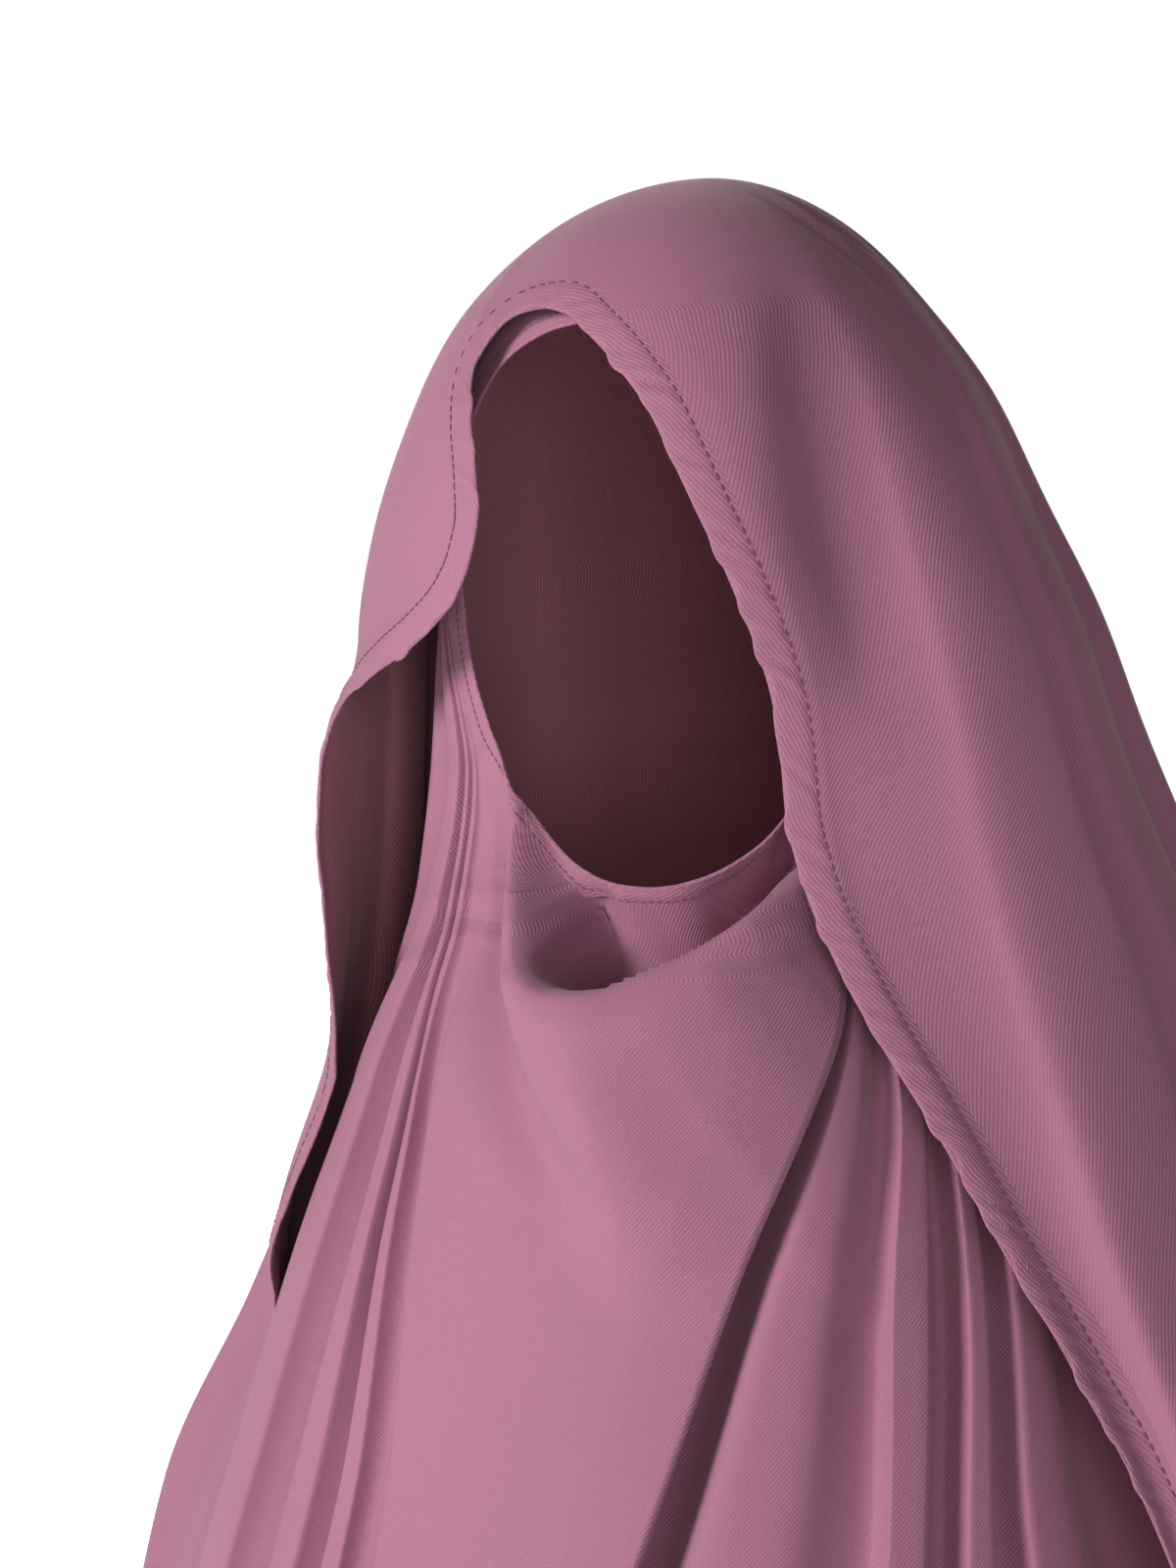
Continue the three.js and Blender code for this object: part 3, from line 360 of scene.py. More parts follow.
# its two front edges over the share of the way from brow to hem, with the left edge's flare in
# fold depths
frontEdge = tableOf(("drop", "right", "left", "flare"), [
    (0, -20, -20, 0),
    (0.007, -12, -34, 0),
    (0.023, -3, -37, 0),
    (0.045, 4.5, -33, 0),
    (0.07, 9, -29, 0),
    (0.092, 12.5, -27.5, 0),
    (0.114, 16, -29.5, 0),
    (0.133, 18.5, -34, 0),
    (0.154, 21, -44, 0),
    (0.171, 22.5, -56, 0.05),
    (0.187, 23.3, -66, 0.15),
    (0.204, 23.6, -71, 0.25),
    (0.224, 23.8, -72, 0.32),
    (0.256, 25.6, -72, 0.3),
    (0.291, 29, -71, 0.15),
    (0.321, 32.5, -67, 0),
    (0.348, 35.8, -62, -0.15),
    (0.373, 38.4, -58, -0.2),
    (0.422, 42.5, -60, -0.12),
    (0.451, 45, -64, -0.16),
    (0.475, 46.4, -68, -0.3),
    (0.495, 47.8, -70, -0.55),
    (0.546, 49.8, -70, -1.05),
    (0.643, 52, -69, -1.25),
    (1, 55, -70, -1.25),
])

# Soft ridges and valleys that cross the folds: points are (angle, drop), high is the height in
# the middle of the line and wide its two half widths, to the line's left and right
outerCreases = [
    {"points": [(46, 0.004), (57, 0.014), (67, 0.027), (76, 0.045)], "high": -0.0028, "wide": (0.004, 0.006)},
    {"points": [(72, 0.006), (84, 0.017), (95, 0.03)], "high": -0.0022, "wide": (0.0035, 0.005)},
    {"points": [(-62, 0.016), (-49, 0.027), (-43, 0.042), (-42, 0.06)], "high": 0.0016,
     "wide": (0.005, 0.004)},
    {"points": [(38, 0.03), (34, 0.066), (35, 0.095), (38.5, 0.13), (41, 0.17)], "high": -0.0095,
     "wide": (0.014, 0.026)},
    {"points": [(-36, 0.14), (-42, 0.17), (-46, 0.2), (-50, 0.24)], "high": -0.004, "wide": (0.007, 0.007)},
]

outerSheet = {
    "rows": 180,
    "browRow": 0.25,  # share of the rows above the hood's front edge
    "edgeRows": 1.7,  # rows crowd towards the brow along the front edges
    "edgeWidth": 3,  # fold intervals over which that crowding dies out
    "flareWidth": 2.2,  # fold intervals over which the left edge's flare dies out
    "columns": [26, 16, 18, 14, 12, 12] + [10] * 10 + [12, 12, 14, 30],
    "flat": (1.34, 0.84),  # bottom hem over its folds by crown to hem, with what is turned under
    "area": 0.72,
}
rightEdge = columnCurve(frontEdge, "drop", "right", root=True)
leftEdge = columnCurve(frontEdge, "drop", "left", root=True)
edgeFlare = columnCurve(frontEdge, "drop", "flare", root=True)
outerSpan = len(outerFolds) - 1


def edgeShare(drop):
    # share of the way from the brow to the bottom hem
    return (drop - veil["browDrop"]) / (veil["length"] - veil["browDrop"])


def outerDrop(u, v):
    # square of an even run of rows, but v^1.7 below the brow along the front edges
    root = math.sqrt(veil["browDrop"] / veil["length"])
    above = veil["length"] * (root * v / outerSheet["browRow"]) ** 2
    t = np.clip((v - outerSheet["browRow"]) / (1 - outerSheet["browRow"]), 0, 1)
    behind = veil["length"] * (root + (1 - root) * t) ** 2
    edge = veil["browDrop"] + (veil["length"] - veil["browDrop"]) * t ** outerSheet["edgeRows"]
    fromEdge = np.minimum(u, outerSpan - u)
    below = mix(edge, behind, smoothStep(0, outerSheet["edgeWidth"], fromEdge))
    return np.where(v <= outerSheet["browRow"], above, below)


def outerEdges(drop):
    # angles of the front edges, the left one counted on from the right one round the back
    return rightEdge(edgeShare(drop)), 360 + leftEdge(edgeShare(drop))


def outerFinish(u, angle, drop, out):
    # radius = envelope + fold + the left edge's flare + creases
    nearLeft = 1 - smoothStep(0, outerSheet["flareWidth"], outerSpan - u)
    flare = edgeFlare(edgeShare(drop)) * veil["foldDepth"] * nearLeft
    creased = creaseHeight(outerCreases, fromFront(angle), drop)
    return cylinderPoint(angle, envelopeRadius(drop, angle, outerReach) + out + flare + creased, drop)


placeOuter = foldedSurface(outerFolds, outerDrop, outerEdges, outerFinish)

# Inner khimar

# the face opening's two edges over the share of its height
faceEdge = tableOf(("drop", "right", "left"), [
    (0, -1, -1),
    (0.03, 22, -24),
    (0.1, 36, -38),
    (0.25, 44, -46),
    (0.42, 46, -48),
    (0.56, 45, -47),
    (0.7, 40, -41),
    (0.84, 30.5, -30),
    (0.92, 23, -22.5),
    (0.97, 14, -15),
    (0.9925, 6.5, -8.5),
    (0.9983, 2.6, -4.6),
    (1, -1, -1),
])

cowl = {
    # its crest line, from the right cheek down under the chin and up to the left. reach is its
    # height, inside the width of the slope towards the face, curl how far that slope rolls
    # back under the crest, outside the width of the other slope, all in shares of cowlReach
    "crest": tableOf(("angle", "drop", "reach", "inside", "curl", "outside"), [
        (-44, 0.150, 0, 0.12, 0, 0.4),
        (-37, 0.168, 0.03, 0.12, 0, 0.4),
        (-32.5, 0.181, 0.14, 0.12, 0, 0.36),
        (-28.2, 0.1945, 0.32, 0.14, 0, 0.33),
        (-24.8, 0.2045, 0.5, 0.18, 0, 0.32),
        (-22, 0.2135, 0.66, 0.26, 0, 0.34),
        (-19.4, 0.2215, 0.82, 0.36, 0, 0.35),
        (-16.6, 0.23, 0.97, 0.48, 0.05, 0.4),
        (-14, 0.2353, 1.08, 0.5, 0.25, 0.46),
        (-9.4, 0.2386, 1.14, 0.42, 0.7, 0.62),
        (-4, 0.238, 1.2, 0.36, 0.95, 0.85),
        (1.5, 0.234, 1.2, 0.31, 1, 1),
        (8.4, 0.2285, 1.12, 0.26, 0.9, 1),
        (13.6, 0.2235, 0.94, 0.22, 0.75, 1),
        (20, 0.2165, 0.66, 0.17, 0.6, 1),
        (24, 0.2125, 0.48, 0.16, 0.45, 1),
        (29, 0.2088, 0.32, 0.15, 0.25, 1),
        (34, 0.2068, 0.18, 0.15, 0.1, 1),
        (43, 0.206, 0, 0.15, 0, 1),
    ]),
    # out over the distance from the crest: inside in shares of its width, outside of cowlReach
    "profile": tableOf(("away", "out", "curl"), [
        (-2.3, 0, 0),
        (-1.7, -0.03, 0.28),
        (-1.25, -0.07, 0.74),
        (-0.9, 0, 1),
        (-0.62, 0.19, 0.92),
        (-0.35, 0.54, 0.5),
        (-0.12, 0.88, 0.1),
        (0.06, 1, 0),
        (0.35, 0.97, 0),
        (0.9, 0.78, 0),
        (1.6, 0.52, 0),
        (2.8, 0.17, 0),
        (4.2, 0, 0),
    ]),
    "foldsFrom": (0.15, 1.1),  # distances outside the crest, in cowlReach, over which the folds grow
    "edgeKept": 0.006,  # depth below the face edge over which the cowl and the creases begin
    "narrowest": 1e-4,  # least width of the slope towards the face
}

innerCreases = [
    {"points": [(-18, 0.226), (-15.4, 0.242), (-11.5, 0.262), (-3, 0.287), (1.5, 0.303), (7, 0.325)],
     "high": 0.009, "wide": (0.009, 0.02)},
    {"points": [(-36, 0.172), (-34.5, 0.2), (-29.5, 0.235), (-20, 0.262), (-11, 0.288), (-5, 0.312)],
     "high": -0.015, "wide": (0.012, 0.012)},
    # between the chin panel and the cowl's two ends
    {"points": [(-15.5, 0.2175), (-12.4, 0.222), (-8.2, 0.2265), (-4.6, 0.2305)], "high": -0.006,
     "wide": (0.006, 0.005)},
    {"points": [(6, 0.227), (12, 0.2185), (18, 0.2125), (24, 0.208), (30, 0.203), (35, 0.197)],
     "high": -0.015, "wide": (0.004, 0.008)},
    {"points": [(-14, 0.224), (-4, 0.229), (6, 0.226), (16, 0.216)], "high": -0.007, "wide": (0.009, 0.009)},
]

innerSheet = {
    "rows": 175,
    "topRow": 0.08,  # share of the rows above the face opening
    "chinRow": 0.36,  # share of the rows down to its lower edge
    "topBehind": 1.1,  # the opening's top row lies this many times as low behind the head
    "crowding": 2.7,  # power with which the rows below crowd under the chin in front
    "even": 0.06,  # share of those rows that is evenly spaced
    "crowdingBehind": 1.3,
    "edgeWidth": 4,  # fold intervals from the centre front over which the rows change
    "columns": [36, 12, 12, 10, 9, 7, 7, 7, 7, 7, 7] + [5] * 9 + [8, 8, 10, 10, 10, 9, 9, 9, 14, 26],
    "flat": (1.6, 0.82),  # bottom hem round its folds by crown to hem
    "area": 0.8,
}
widestFace = 0.42  # share of the face's height at which the opening is widest
rightFace = columnCurve(faceEdge, "drop", "right")
leftFace = columnCurve(faceEdge, "drop", "left")
lowerFace = [row for row in faceEdge if row["drop"] >= widestFace]
chinEdge = [(row["left"], row["drop"]) for row in lowerFace]
chinEdge += [(row["right"], row["drop"]) for row in lowerFace[-2::-1]]


def belowChinEdge(angle, drop):
    # depth below the opening's lower edge: drop - (face top + face height times the edge's share)
    angles, shares = zip(*chinEdge)
    return drop - veil["faceTop"] - veil["faceHeight"] * np.interp(angle, angles, shares)


def alongLine(rows, value):
    # curve of a column over the place along the line, 0 to 1
    points = np.array([(row["angle"] * veil["perDegree"], row["drop"]) for row in rows])
    lengths = lengthsAlong(points)
    return curveThrough(lengths / lengths[-1], [row[value] for row in rows])


crestColumns = {name: alongLine(cowl["crest"], name) for name in ("reach", "inside", "curl", "outside")}
profileOut = columnCurve(cowl["profile"], "away", "out")
profileCurl = columnCurve(cowl["profile"], "away", "curl")
innerSpan = len(innerFolds) - 1


def innerDrop(u, v):
    # squares above the face, a cosine run down the face opening, crowded below the chin
    top, chin, wide = innerSheet["topRow"], innerSheet["chinRow"], innerSheet["edgeWidth"]
    fromEdge = np.minimum(u, innerSpan - u)
    low = veil["faceTop"] * innerSheet["topBehind"]
    above = mix(veil["faceTop"], low, smoothStep(0, innerSpan / 2, fromEdge)) * (v / top) ** 2
    t = np.clip((v - top) / (chin - top), 0, 1)
    edge = veil["faceTop"] + veil["faceHeight"] * (1 - np.cos(np.pi * t)) / 2
    face = mix(edge, mix(low, chinDrop, t), smoothStep(0, wide, fromEdge))
    t = np.clip((v - chin) / (1 - chin), 0, 1)
    run = veil["length"] - chinDrop
    edge = chinDrop + run * mix(t ** innerSheet["crowding"], t, innerSheet["even"])
    behind = chinDrop + run * t ** innerSheet["crowdingBehind"]
    chest = mix(edge, behind, smoothStep(wide, innerSpan / 2, fromEdge))
    return np.where(v <= top, above, np.where(v <= chin, face, chest))


def innerEdges(drop):
    # the face opening's edges within its height, and the centre front above and below it
    share, faceShare = drop / veil["length"], (drop - veil["faceTop"]) / veil["faceHeight"]
    isOpen = (faceShare > 0) & (faceShare < 1)
    first = np.where(isOpen, rightFace(faceShare), innerFolds[0]["angle"](share))
    return first, np.where(isOpen, 360 + leftFace(faceShare), innerFolds[innerSpan]["angle"](share))


def innerFinish(u, angle, drop, out):
    # radius = envelope + fold - seat + cowl + creases. The cowl stands out along its crest line,
    # and its inner slope is drawn away from the face, back under the crest. That slope and the
    # creases begin below the face edge, so that the edge keeps its line.
    front = fromFront(angle)
    away, along, square = nearLine(front, drop, [(row["angle"], row["drop"]) for row in cowl["crest"]])
    reach, inside, curl, outside = (column(along) * veil["cowlReach"] for column in crestColumns.values())
    place = away / np.where(away < 0, np.maximum(inside, cowl["narrowest"]), outside)
    kept = smoothStep(0, cowl["edgeKept"], belowChinEdge(front, drop))
    inner = mix(1, kept, smoothStep(0, cowl["edgeKept"], -away))
    drawn = curl * profileCurl(place) * inner
    upward = np.clip(1 - drop / crownRound, 0, None)
    radius = envelopeRadius(drop, angle, innerReach) - veil["layerGap"] * np.sqrt(1 - upward ** 2)
    grown = smoothStep(*cowl["foldsFrom"], away / veil["cowlReach"])
    raised = reach * profileOut(place) * inner
    creased = creaseHeight(innerCreases, front, drop) * kept
    radius = radius + out * grown + raised + creased
    return cylinderPoint(angle + drawn * square[0] / veil["perDegree"], radius,
                         drop + drawn * square[1] + veil["layerGap"] * upward)


placeInner = foldedSurface(innerFolds, innerDrop, innerEdges, innerFinish)


# Meshes

rowSlack = 1e-6  # rows this close to a limit count as on it


def columnPlaces(counts):
    # n even steps within each fold interval, and the last line
    return np.concatenate([i + np.arange(n) / n for i, n in enumerate(counts)] + [[len(counts)]])


def gridIndex(rows, cols, closed):
    # vertex number of each grid corner: one pole, and closed rows share their first and last column
    index = np.zeros((rows, cols), int)
    count = 1
    for i in range(1, rows):
        width = cols - 1 if closed[i] else cols
        index[i, :width] = count + np.arange(width)
        if closed[i]:
            index[i, -1] = index[i, 0]
        count += width
    return index, count


def cellCorners(grid):
    # the four corners of each cell of the grid, counted round it
    return np.stack([grid[:-1, :-1], grid[1:, :-1], grid[1:, 1:], grid[:-1, 1:]], 2)


def newPiece(name, verts, faces, uv=None):
    # smooth mesh, with each corner's place on the cloth as its UV map
    mesh = bpy.data.meshes.new(name)
    mesh.from_pydata(verts.tolist(), [], faces)
    if uv is not None:
        mesh.uv_layers.new(name="cloth").data.foreach_set("uv", uv.astype(np.float32).ravel())
    mesh.polygons.foreach_set("use_smooth", np.ones(len(mesh.polygons), bool))
    piece = bpy.data.objects.new(name, mesh)
    bpy.context.scene.collection.objects.link(piece)
    return piece


# heights from the crown to a little below the hem, closer together at the crown
levels = np.linspace(0, 1, 400) ** 2 * veil["length"] * 1.1
shares = levels / veil["length"]
spread = (outerReach["front"](shares) + outerReach["back"](shares)) * veil["depth"] / 2
lengthDown = np.concatenate([[0], np.cumsum(np.hypot(np.diff(levels), np.diff(spread)))])


def clothLength(drop):
    # length down the plain cloth from the crown to a drop
    return np.interp(drop, levels, lengthDown)


def sheetMesh(name, points, closed):
    # quads of the grid, triangles at the pole, with lengths over the cloth as the UV map
    rows, cols = points.shape[:2]
    index, count = gridIndex(rows, cols, closed)
    verts = np.zeros((count, 3))
    verts[index.ravel()] = points.reshape(-1, 3)
    cells = cellCorners(index)
    faces = cells[0, :, :3].tolist() + cells[1:].reshape(-1, 4).tolist()
    across = np.cumsum(np.linalg.norm(np.diff(points, axis=1, prepend=points[:, :1]), axis=2), axis=1)
    across = np.where(np.arange(cols) > cols // 2, across - across[:, -1:], across)
    uv = np.stack([across, clothLength(-points[..., 2])], -1)
    corners = cellCorners(uv)
    loops = np.concatenate([corners[0, :, :3].reshape(-1, 2), corners[1:].reshape(-1, 2)])
    return newPiece(name, verts, faces, loops)


def thicken(piece, thickness):
    # a wall on the inner side, whose inner face takes the piece's second material
    wall = piece.modifiers.new("wall", "SOLIDIFY")
    wall.thickness = thickness
    wall.offset = -1
    wall.material_offset = 1
    return piece


def gridNormals(points, closed):
    # outward unit normals: the step down the grid crossed with the step across it
    across = np.gradient(points, axis=1)
    wrap = points[:, 1] - points[:, -2]
    across[closed, 0] = across[closed, -1] = wrap[closed] / 2
    normals = np.cross(np.gradient(points, axis=0), across)
    return normals / np.maximum(np.linalg.norm(normals, axis=2, keepdims=True), 1e-12)


# Edges, hems and stitches

def smoothAlong(values, rounds, closed):
    # mean of each row and its neighbours, repeated
    for _ in range(rounds):
        before, after = np.roll(values, 1, 0), np.roll(values, -1, 0)
        if not closed:
            before[0], after[-1] = values[0], values[-1]
        values = (before + 2 * values + after) / 4
    return values


def edgePath(points, normals, pitch, closed=False, rounds=4):
    # even steps along a border of the cloth, with its normals and the direction into the cloth
    if closed:
        points, normals = np.vstack([points, points[:1]]), np.vstack([normals, normals[:1]])
    lengths = lengthsAlong(points)
    count = int(round(lengths[-1] / pitch))
    s = np.linspace(0, lengths[-1], count + 1)[:-1 if closed else None]
    at = np.stack([np.interp(s, lengths, points[:, k]) for k in range(3)], -1)
    normal = np.stack([np.interp(s, lengths, normals[:, k]) for k in range(3)], -1)
    normal = unit(smoothAlong(normal, rounds, closed))
    if closed:
        along = np.roll(at, -1, 0) - np.roll(at, 1, 0)
    else:
        along = np.gradient(at, axis=0)
    along = smoothAlong(unit(along), rounds, closed)
    inward = unit(np.cross(normal, along))
    along = np.cross(inward, normal)
    return {"s": s, "at": at, "normal": normal, "inward": inward, "along": along, "closed": closed}


def clothNear(points, normals, path, within=0.03, every=8, batch=40):
    # the cloth's grid points near a border, with their normals
    points, normals = points.reshape(-1, 3), normals.reshape(-1, 3)
    some = path["at"][::every]
    close = np.zeros(len(points), bool)
    for part in np.array_split(some, max(1, len(some) // batch)):
        close |= np.any(np.sum((points[:, None] - part) ** 2, axis=2) < within ** 2, axis=1)
    return points[close], normals[close]


def onCloth(path, cloth, inwards, height, blur=0.0022, around=0.012, batch=25):
    # points the given distances in from the border and above the cloth: each is moved along the
    # cloth's normal to the plane of the grid points around it, weighted exp(-(d / blur)^2 / 2)
    near, facing = cloth
    base = path["at"][:, None] + inwards[..., None] * path["inward"][:, None]
    placed = np.empty_like(base)
    for rows in np.array_split(np.arange(len(base)), max(1, len(base) // batch)):
        part = base[rows].reshape(-1, 3)
        middle = part.mean(axis=0)
        limit = np.max(np.linalg.norm(part - middle, axis=1)) + around
        local = np.sum((near - middle) ** 2, axis=1) < limit ** 2
        spots, ways = near[local], facing[local]
        square = np.sum((part[:, None] - spots) ** 2, axis=2)
        weight = np.exp(-(square - square.min(axis=1, keepdims=True)) / (2 * blur ** 2))
        weight /= weight.sum(axis=1, keepdims=True)
        centre, normal = weight @ spots, unit(weight @ ways)
        part = part - np.sum((part - centre) * normal, axis=1, keepdims=True) * normal
        lift = height[rows][..., None] * normal.reshape(len(rows), -1, 3)
        placed[rows] = part.reshape(len(rows), -1, 3) + lift
    return placed


def ripple(s, w, lengths, seed, steady=0.6, swing=0.4, slower=5.3):
    # mean of slanted waves sin(2 pi (s + slant w) / length + phase), each with a strength of
    # steady + swing sin(2 pi s / (length slower) + slow)
    rng = np.random.default_rng(seed)
    total = 0
    for length, slant in lengths:
        phase, slow = rng.uniform(0, 2 * np.pi, 2)
        strength = steady + swing * np.sin(2 * np.pi * s / (length * slower) + slow)
        total = total + strength * np.sin(2 * np.pi * (s + slant * w) / length + phase)
    return total / len(lengths)


def makeBand(name, path, cloth, band):
    # the profile (w, h) carried along the border, with puckers between the edge and the stitches
    w, h = (np.array([p[k] for p in band["profile"]]) for k in (0, 1))
    s = path["s"][:, None]
    amount = np.clip(np.sin(np.pi * np.clip(w / band["stitchLine"], 0, 1)), 0, 1) * np.sign(h + 1e-9)
    puckers = band["pucker"] * amount * ripple(s, w, band["waves"], band["seed"])
    wander = band["wander"] * ripple(s, 0 * w, band["wanderWaves"], band["seed"] + 1)
    wander = wander * np.clip(1 - w / band["stitchLine"], 0, 1)
    points = onCloth(path, cloth, w + wander, h + puckers)
    rows, cols = points.shape[:2]
    index = np.arange(rows * cols).reshape(rows, cols)
    if path["closed"]:
        index = np.vstack([index, index[:1]])
    girth = np.concatenate([[0], np.cumsum(np.hypot(np.diff(w), np.diff(h)))])
    pitch = path["s"][1] - path["s"][0]
    su = np.append(path["s"], path["s"][-1] + pitch)[:len(index)]
    uv = np.stack(np.broadcast_arrays(su[:, None], girth[None]), -1)
    faces = cellCorners(index).reshape(-1, 4).tolist()
    return newPiece(name, points.reshape(-1, 3), faces, cellCorners(uv).reshape(-1, 2))


def makeStitches(name, path, cloth, stitch):
    # a small spindle for each stitch: rings of radius r at steps along the border
    pitch = path["s"][1] - path["s"][0]
    step = max(1, int(round(stitch["pitch"] / pitch)))
    rows = np.arange(step // 2, len(path["s"]), step)
    line = np.full((len(path["s"]), 1), stitch["inwards"])
    centre = onCloth(path, cloth, line, np.full_like(line, stitch["height"]))[rows, 0]
    ends = np.array(stitch["spindle"]) * (stitch["length"], stitch["radius"])
    turns = np.arange(stitch["sides"]) * 2 * np.pi / stitch["sides"]
    along, normal, inward = (path[key][rows][:, None, None] for key in ("along", "normal", "inward"))
    x, r = ends[:, 0][None, :, None, None], ends[:, 1][None, :, None, None]
    c, q = np.cos(turns)[None, None, :, None], np.sin(turns)[None, None, :, None]
    points = centre[:, None, None] + along * x + (normal * c + inward * q) * r
    count, rings, sides = points.shape[:3]
    index = np.arange(count * rings * sides).reshape(count, rings, sides)
    a, b = index[:, :-1], index[:, 1:]
    walls = np.stack([a, b, np.roll(b, -1, 2), np.roll(a, -1, 2)], -1).reshape(-1, 4)
    caps = np.vstack([index[:, 0], index[:, -1, ::-1]])
    return newPiece(name, points.reshape(-1, 3), walls.tolist() + caps.tolist())


# Materials

def setInputs(node, values):
    for socket, value in values.items():
        node.inputs[socket].default_value = value


def newMaterial(name):
    material = bpy.data.materials.new(name)
    material.use_nodes = True
    nodes = material.node_tree.nodes
    return material, nodes, material.node_tree.links, nodes["Principled BSDF"]


def clothMaterial(name, cloth):
    # diagonal twill over the cloth's own lengths, with uneven yarns and soft, cloudy tone
    material, nodes, links, surface = newMaterial(name)

    def node(kind, **settings):
        made = nodes.new(kind)
        for key, value in settings.items():
            setattr(made, key, value)
        return made

    def maths(operation, a, b=None):
        made = node("ShaderNodeMath", operation=operation)
        for slot, value in enumerate((a, b)):
            if isinstance(value, (int, float)):
                made.inputs[slot].default_value = value
            elif value is not None:
                links.new(value, made.inputs[slot])
        return made.outputs[0]

    def noise(vector, scale, detail):
        made = node("ShaderNodeTexNoise")
        setInputs(made, {"Scale": scale, "Detail": detail})
        links.new(vector, made.inputs["Vector"])
        return made.outputs["Fac"]

    lengths = node("ShaderNodeUVMap", uv_map="cloth").outputs["UV"]
    split = node("ShaderNodeSeparateXYZ")
    links.new(lengths, split.inputs[0])
    slant = math.radians(cloth["slant"])
    across = maths("ADD", maths("MULTIPLY", split.outputs["X"], math.sin(slant)),
                   maths("MULTIPLY", split.outputs["Y"], math.cos(slant)))
    yarn = noise(lengths, *cloth["yarns"])
    swayed = maths("ADD", across, maths("MULTIPLY", yarn, cloth["pitch"] * cloth["sway"]))
    ribs = maths("SINE", maths("MULTIPLY", swayed, 2 * math.pi / cloth["pitch"]))
    cloud = noise(node("ShaderNodeTexCoord").outputs["Object"], *cloth["clouds"])
    uneven = maths("ADD", maths("MULTIPLY", yarn, cloth["yarnTone"]),
                   maths("MULTIPLY", cloud, cloth["cloudTone"]))
    tone = maths("ADD", maths("MULTIPLY", ribs, cloth["twillTone"]), uneven)
    ramp = node("ShaderNodeMapRange")
    links.new(tone, ramp.inputs["Value"])
    middle = (cloth["yarnTone"] + cloth["cloudTone"]) / 2
    setInputs(ramp, {"From Min": middle - 0.5, "From Max": middle + 0.5})
    color = node("ShaderNodeMix", data_type="RGBA")
    links.new(ramp.outputs["Result"], color.inputs["Factor"])
    setInputs(color, {"A": (*cloth["dark"], 1), "B": (*cloth["light"], 1)})
    relief = node("ShaderNodeBump")
    setInputs(relief, {"Strength": cloth["relief"], "Distance": cloth["reliefDepth"]})
    links.new(maths("ADD", maths("MULTIPLY", ribs, cloth["ribRelief"]), yarn), relief.inputs["Height"])
    links.new(color.outputs["Result"], surface.inputs["Base Color"])
    links.new(relief.outputs["Normal"], surface.inputs["Normal"])
    setInputs(surface, {
        "Roughness": cloth["roughness"], "Specular IOR Level": cloth["gloss"], "Sheen Weight": cloth["sheen"],
        "Sheen Roughness": cloth["sheenRoughness"], "Sheen Tint": (*cloth["sheenTint"], 1),
    })
    return material


spunThread = {"roughness": 0.6, "twists": 900, "uneven": 1.5, "shade": 0.7}


def threadMaterial(name, color):
    # fine waves between the colour and its shade
    material, nodes, links, surface = newMaterial(name)
    setInputs(surface, {"Roughness": spunThread["roughness"]})
    twist = nodes.new("ShaderNodeTexWave")
    setInputs(twist, {"Scale": spunThread["twists"], "Distortion": spunThread["uneven"]})
    links.new(nodes.new("ShaderNodeTexCoord").outputs["Object"], twist.inputs["Vector"])
    shade = nodes.new("ShaderNodeMix")
    shade.data_type = "RGBA"
    setInputs(shade, {"A": (*(spunThread["shade"] * c for c in color), 1), "B": (*color, 1)})
    links.new(twist.outputs["Fac"], shade.inputs["Factor"])
    links.new(shade.outputs["Result"], surface.inputs["Base Color"])
    return material


twill = {
    "dark": (0.215, 0.075, 0.13),
    "light": (0.385, 0.16, 0.245),
    "pitch": 0.0012,  # from rib to rib
    "slant": 55,
    "sway": 0.35,  # how far uneven yarns move a rib, in pitches
    "yarns": (1500, 3),  # scale and detail of the noise
    "clouds": (9, 2),
    "twillTone": 0.035,
    "yarnTone": 0.5,
    "cloudTone": 0.25,
    "relief": 0.5,
    "reliefDepth": 0.0003,
    "ribRelief": 0.35,  # the ribs' height beside the yarns'
    "roughness": 0.72,
    "gloss": 0.35,
    "sheen": 0.18,
    "sheenRoughness": 0.45,
    "sheenTint": (1.0, 0.88, 0.92),
}
mauve = clothMaterial("mauve twill", twill)
# the cloth's wrong side, with a stronger twill; its redder tone is painted light, standing in for light
# shining through the cloth
throughLitWrongSide = clothMaterial("mauve twill wrong side with painted through-light", {
    **twill, "dark": (0.25, 0.085, 0.115), "light": (0.46, 0.2, 0.24), "twillTone": 0.18, "relief": 0.7,
})
hemTwill = clothMaterial("mauve hem twill", {**twill, "slant": 20})
# both threads are coloured darker than the cloth, though sewn in its own tone: painted shade of the groove
# that the stitches sit in
thread = threadMaterial("mauve thread with painted groove shade", (0.13, 0.042, 0.07))
paleThread = threadMaterial("mauve thread", (0.2, 0.07, 0.12))


# Outer veil and its hems

def dress(piece, materials):
    # gives a piece its materials and body
    for material in materials:
        piece.data.materials.append(material)
    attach(piece, "root")
    return piece


frontHem = {
    "pitch": 0.0012,
    "stitchLine": 0.0102,
    "pucker": 0.0009,
    "waves": ((0.0084, -0.9), (0.0127, -0.7), (0.0066, -1.1)),
    "wander": 0.0017,  # how far the folded edge strays from its line
    "wanderWaves": ((0.031, 0), (0.017, 0)),
    "seed": 3,
    # out over the right side, round the folded edge and back under: (in from the edge, height)
    "profile": [
        (0.0142, -0.0002), (0.0122, 0.00006), (0.0108, 0.00005), (0.0102, 0), (0.0096, 0.0002),
        (0.0086, 0.00034), (0.0072, 0.0004), (0.0056, 0.0004), (0.004, 0.00038), (0.0024, 0.00036),
        (0.0012, 0.0003), (0.0004, 0.00018), (0.0001, 0), (0, -0.00035), (0.0001, -0.0007),
        (0.0004, -0.0009), (0.0014, -0.001), (0.004, -0.001), (0.0072, -0.001), (0.0095, -0.001),
        (0.0103, -0.0009), (0.0106, -0.0005),
    ],
}
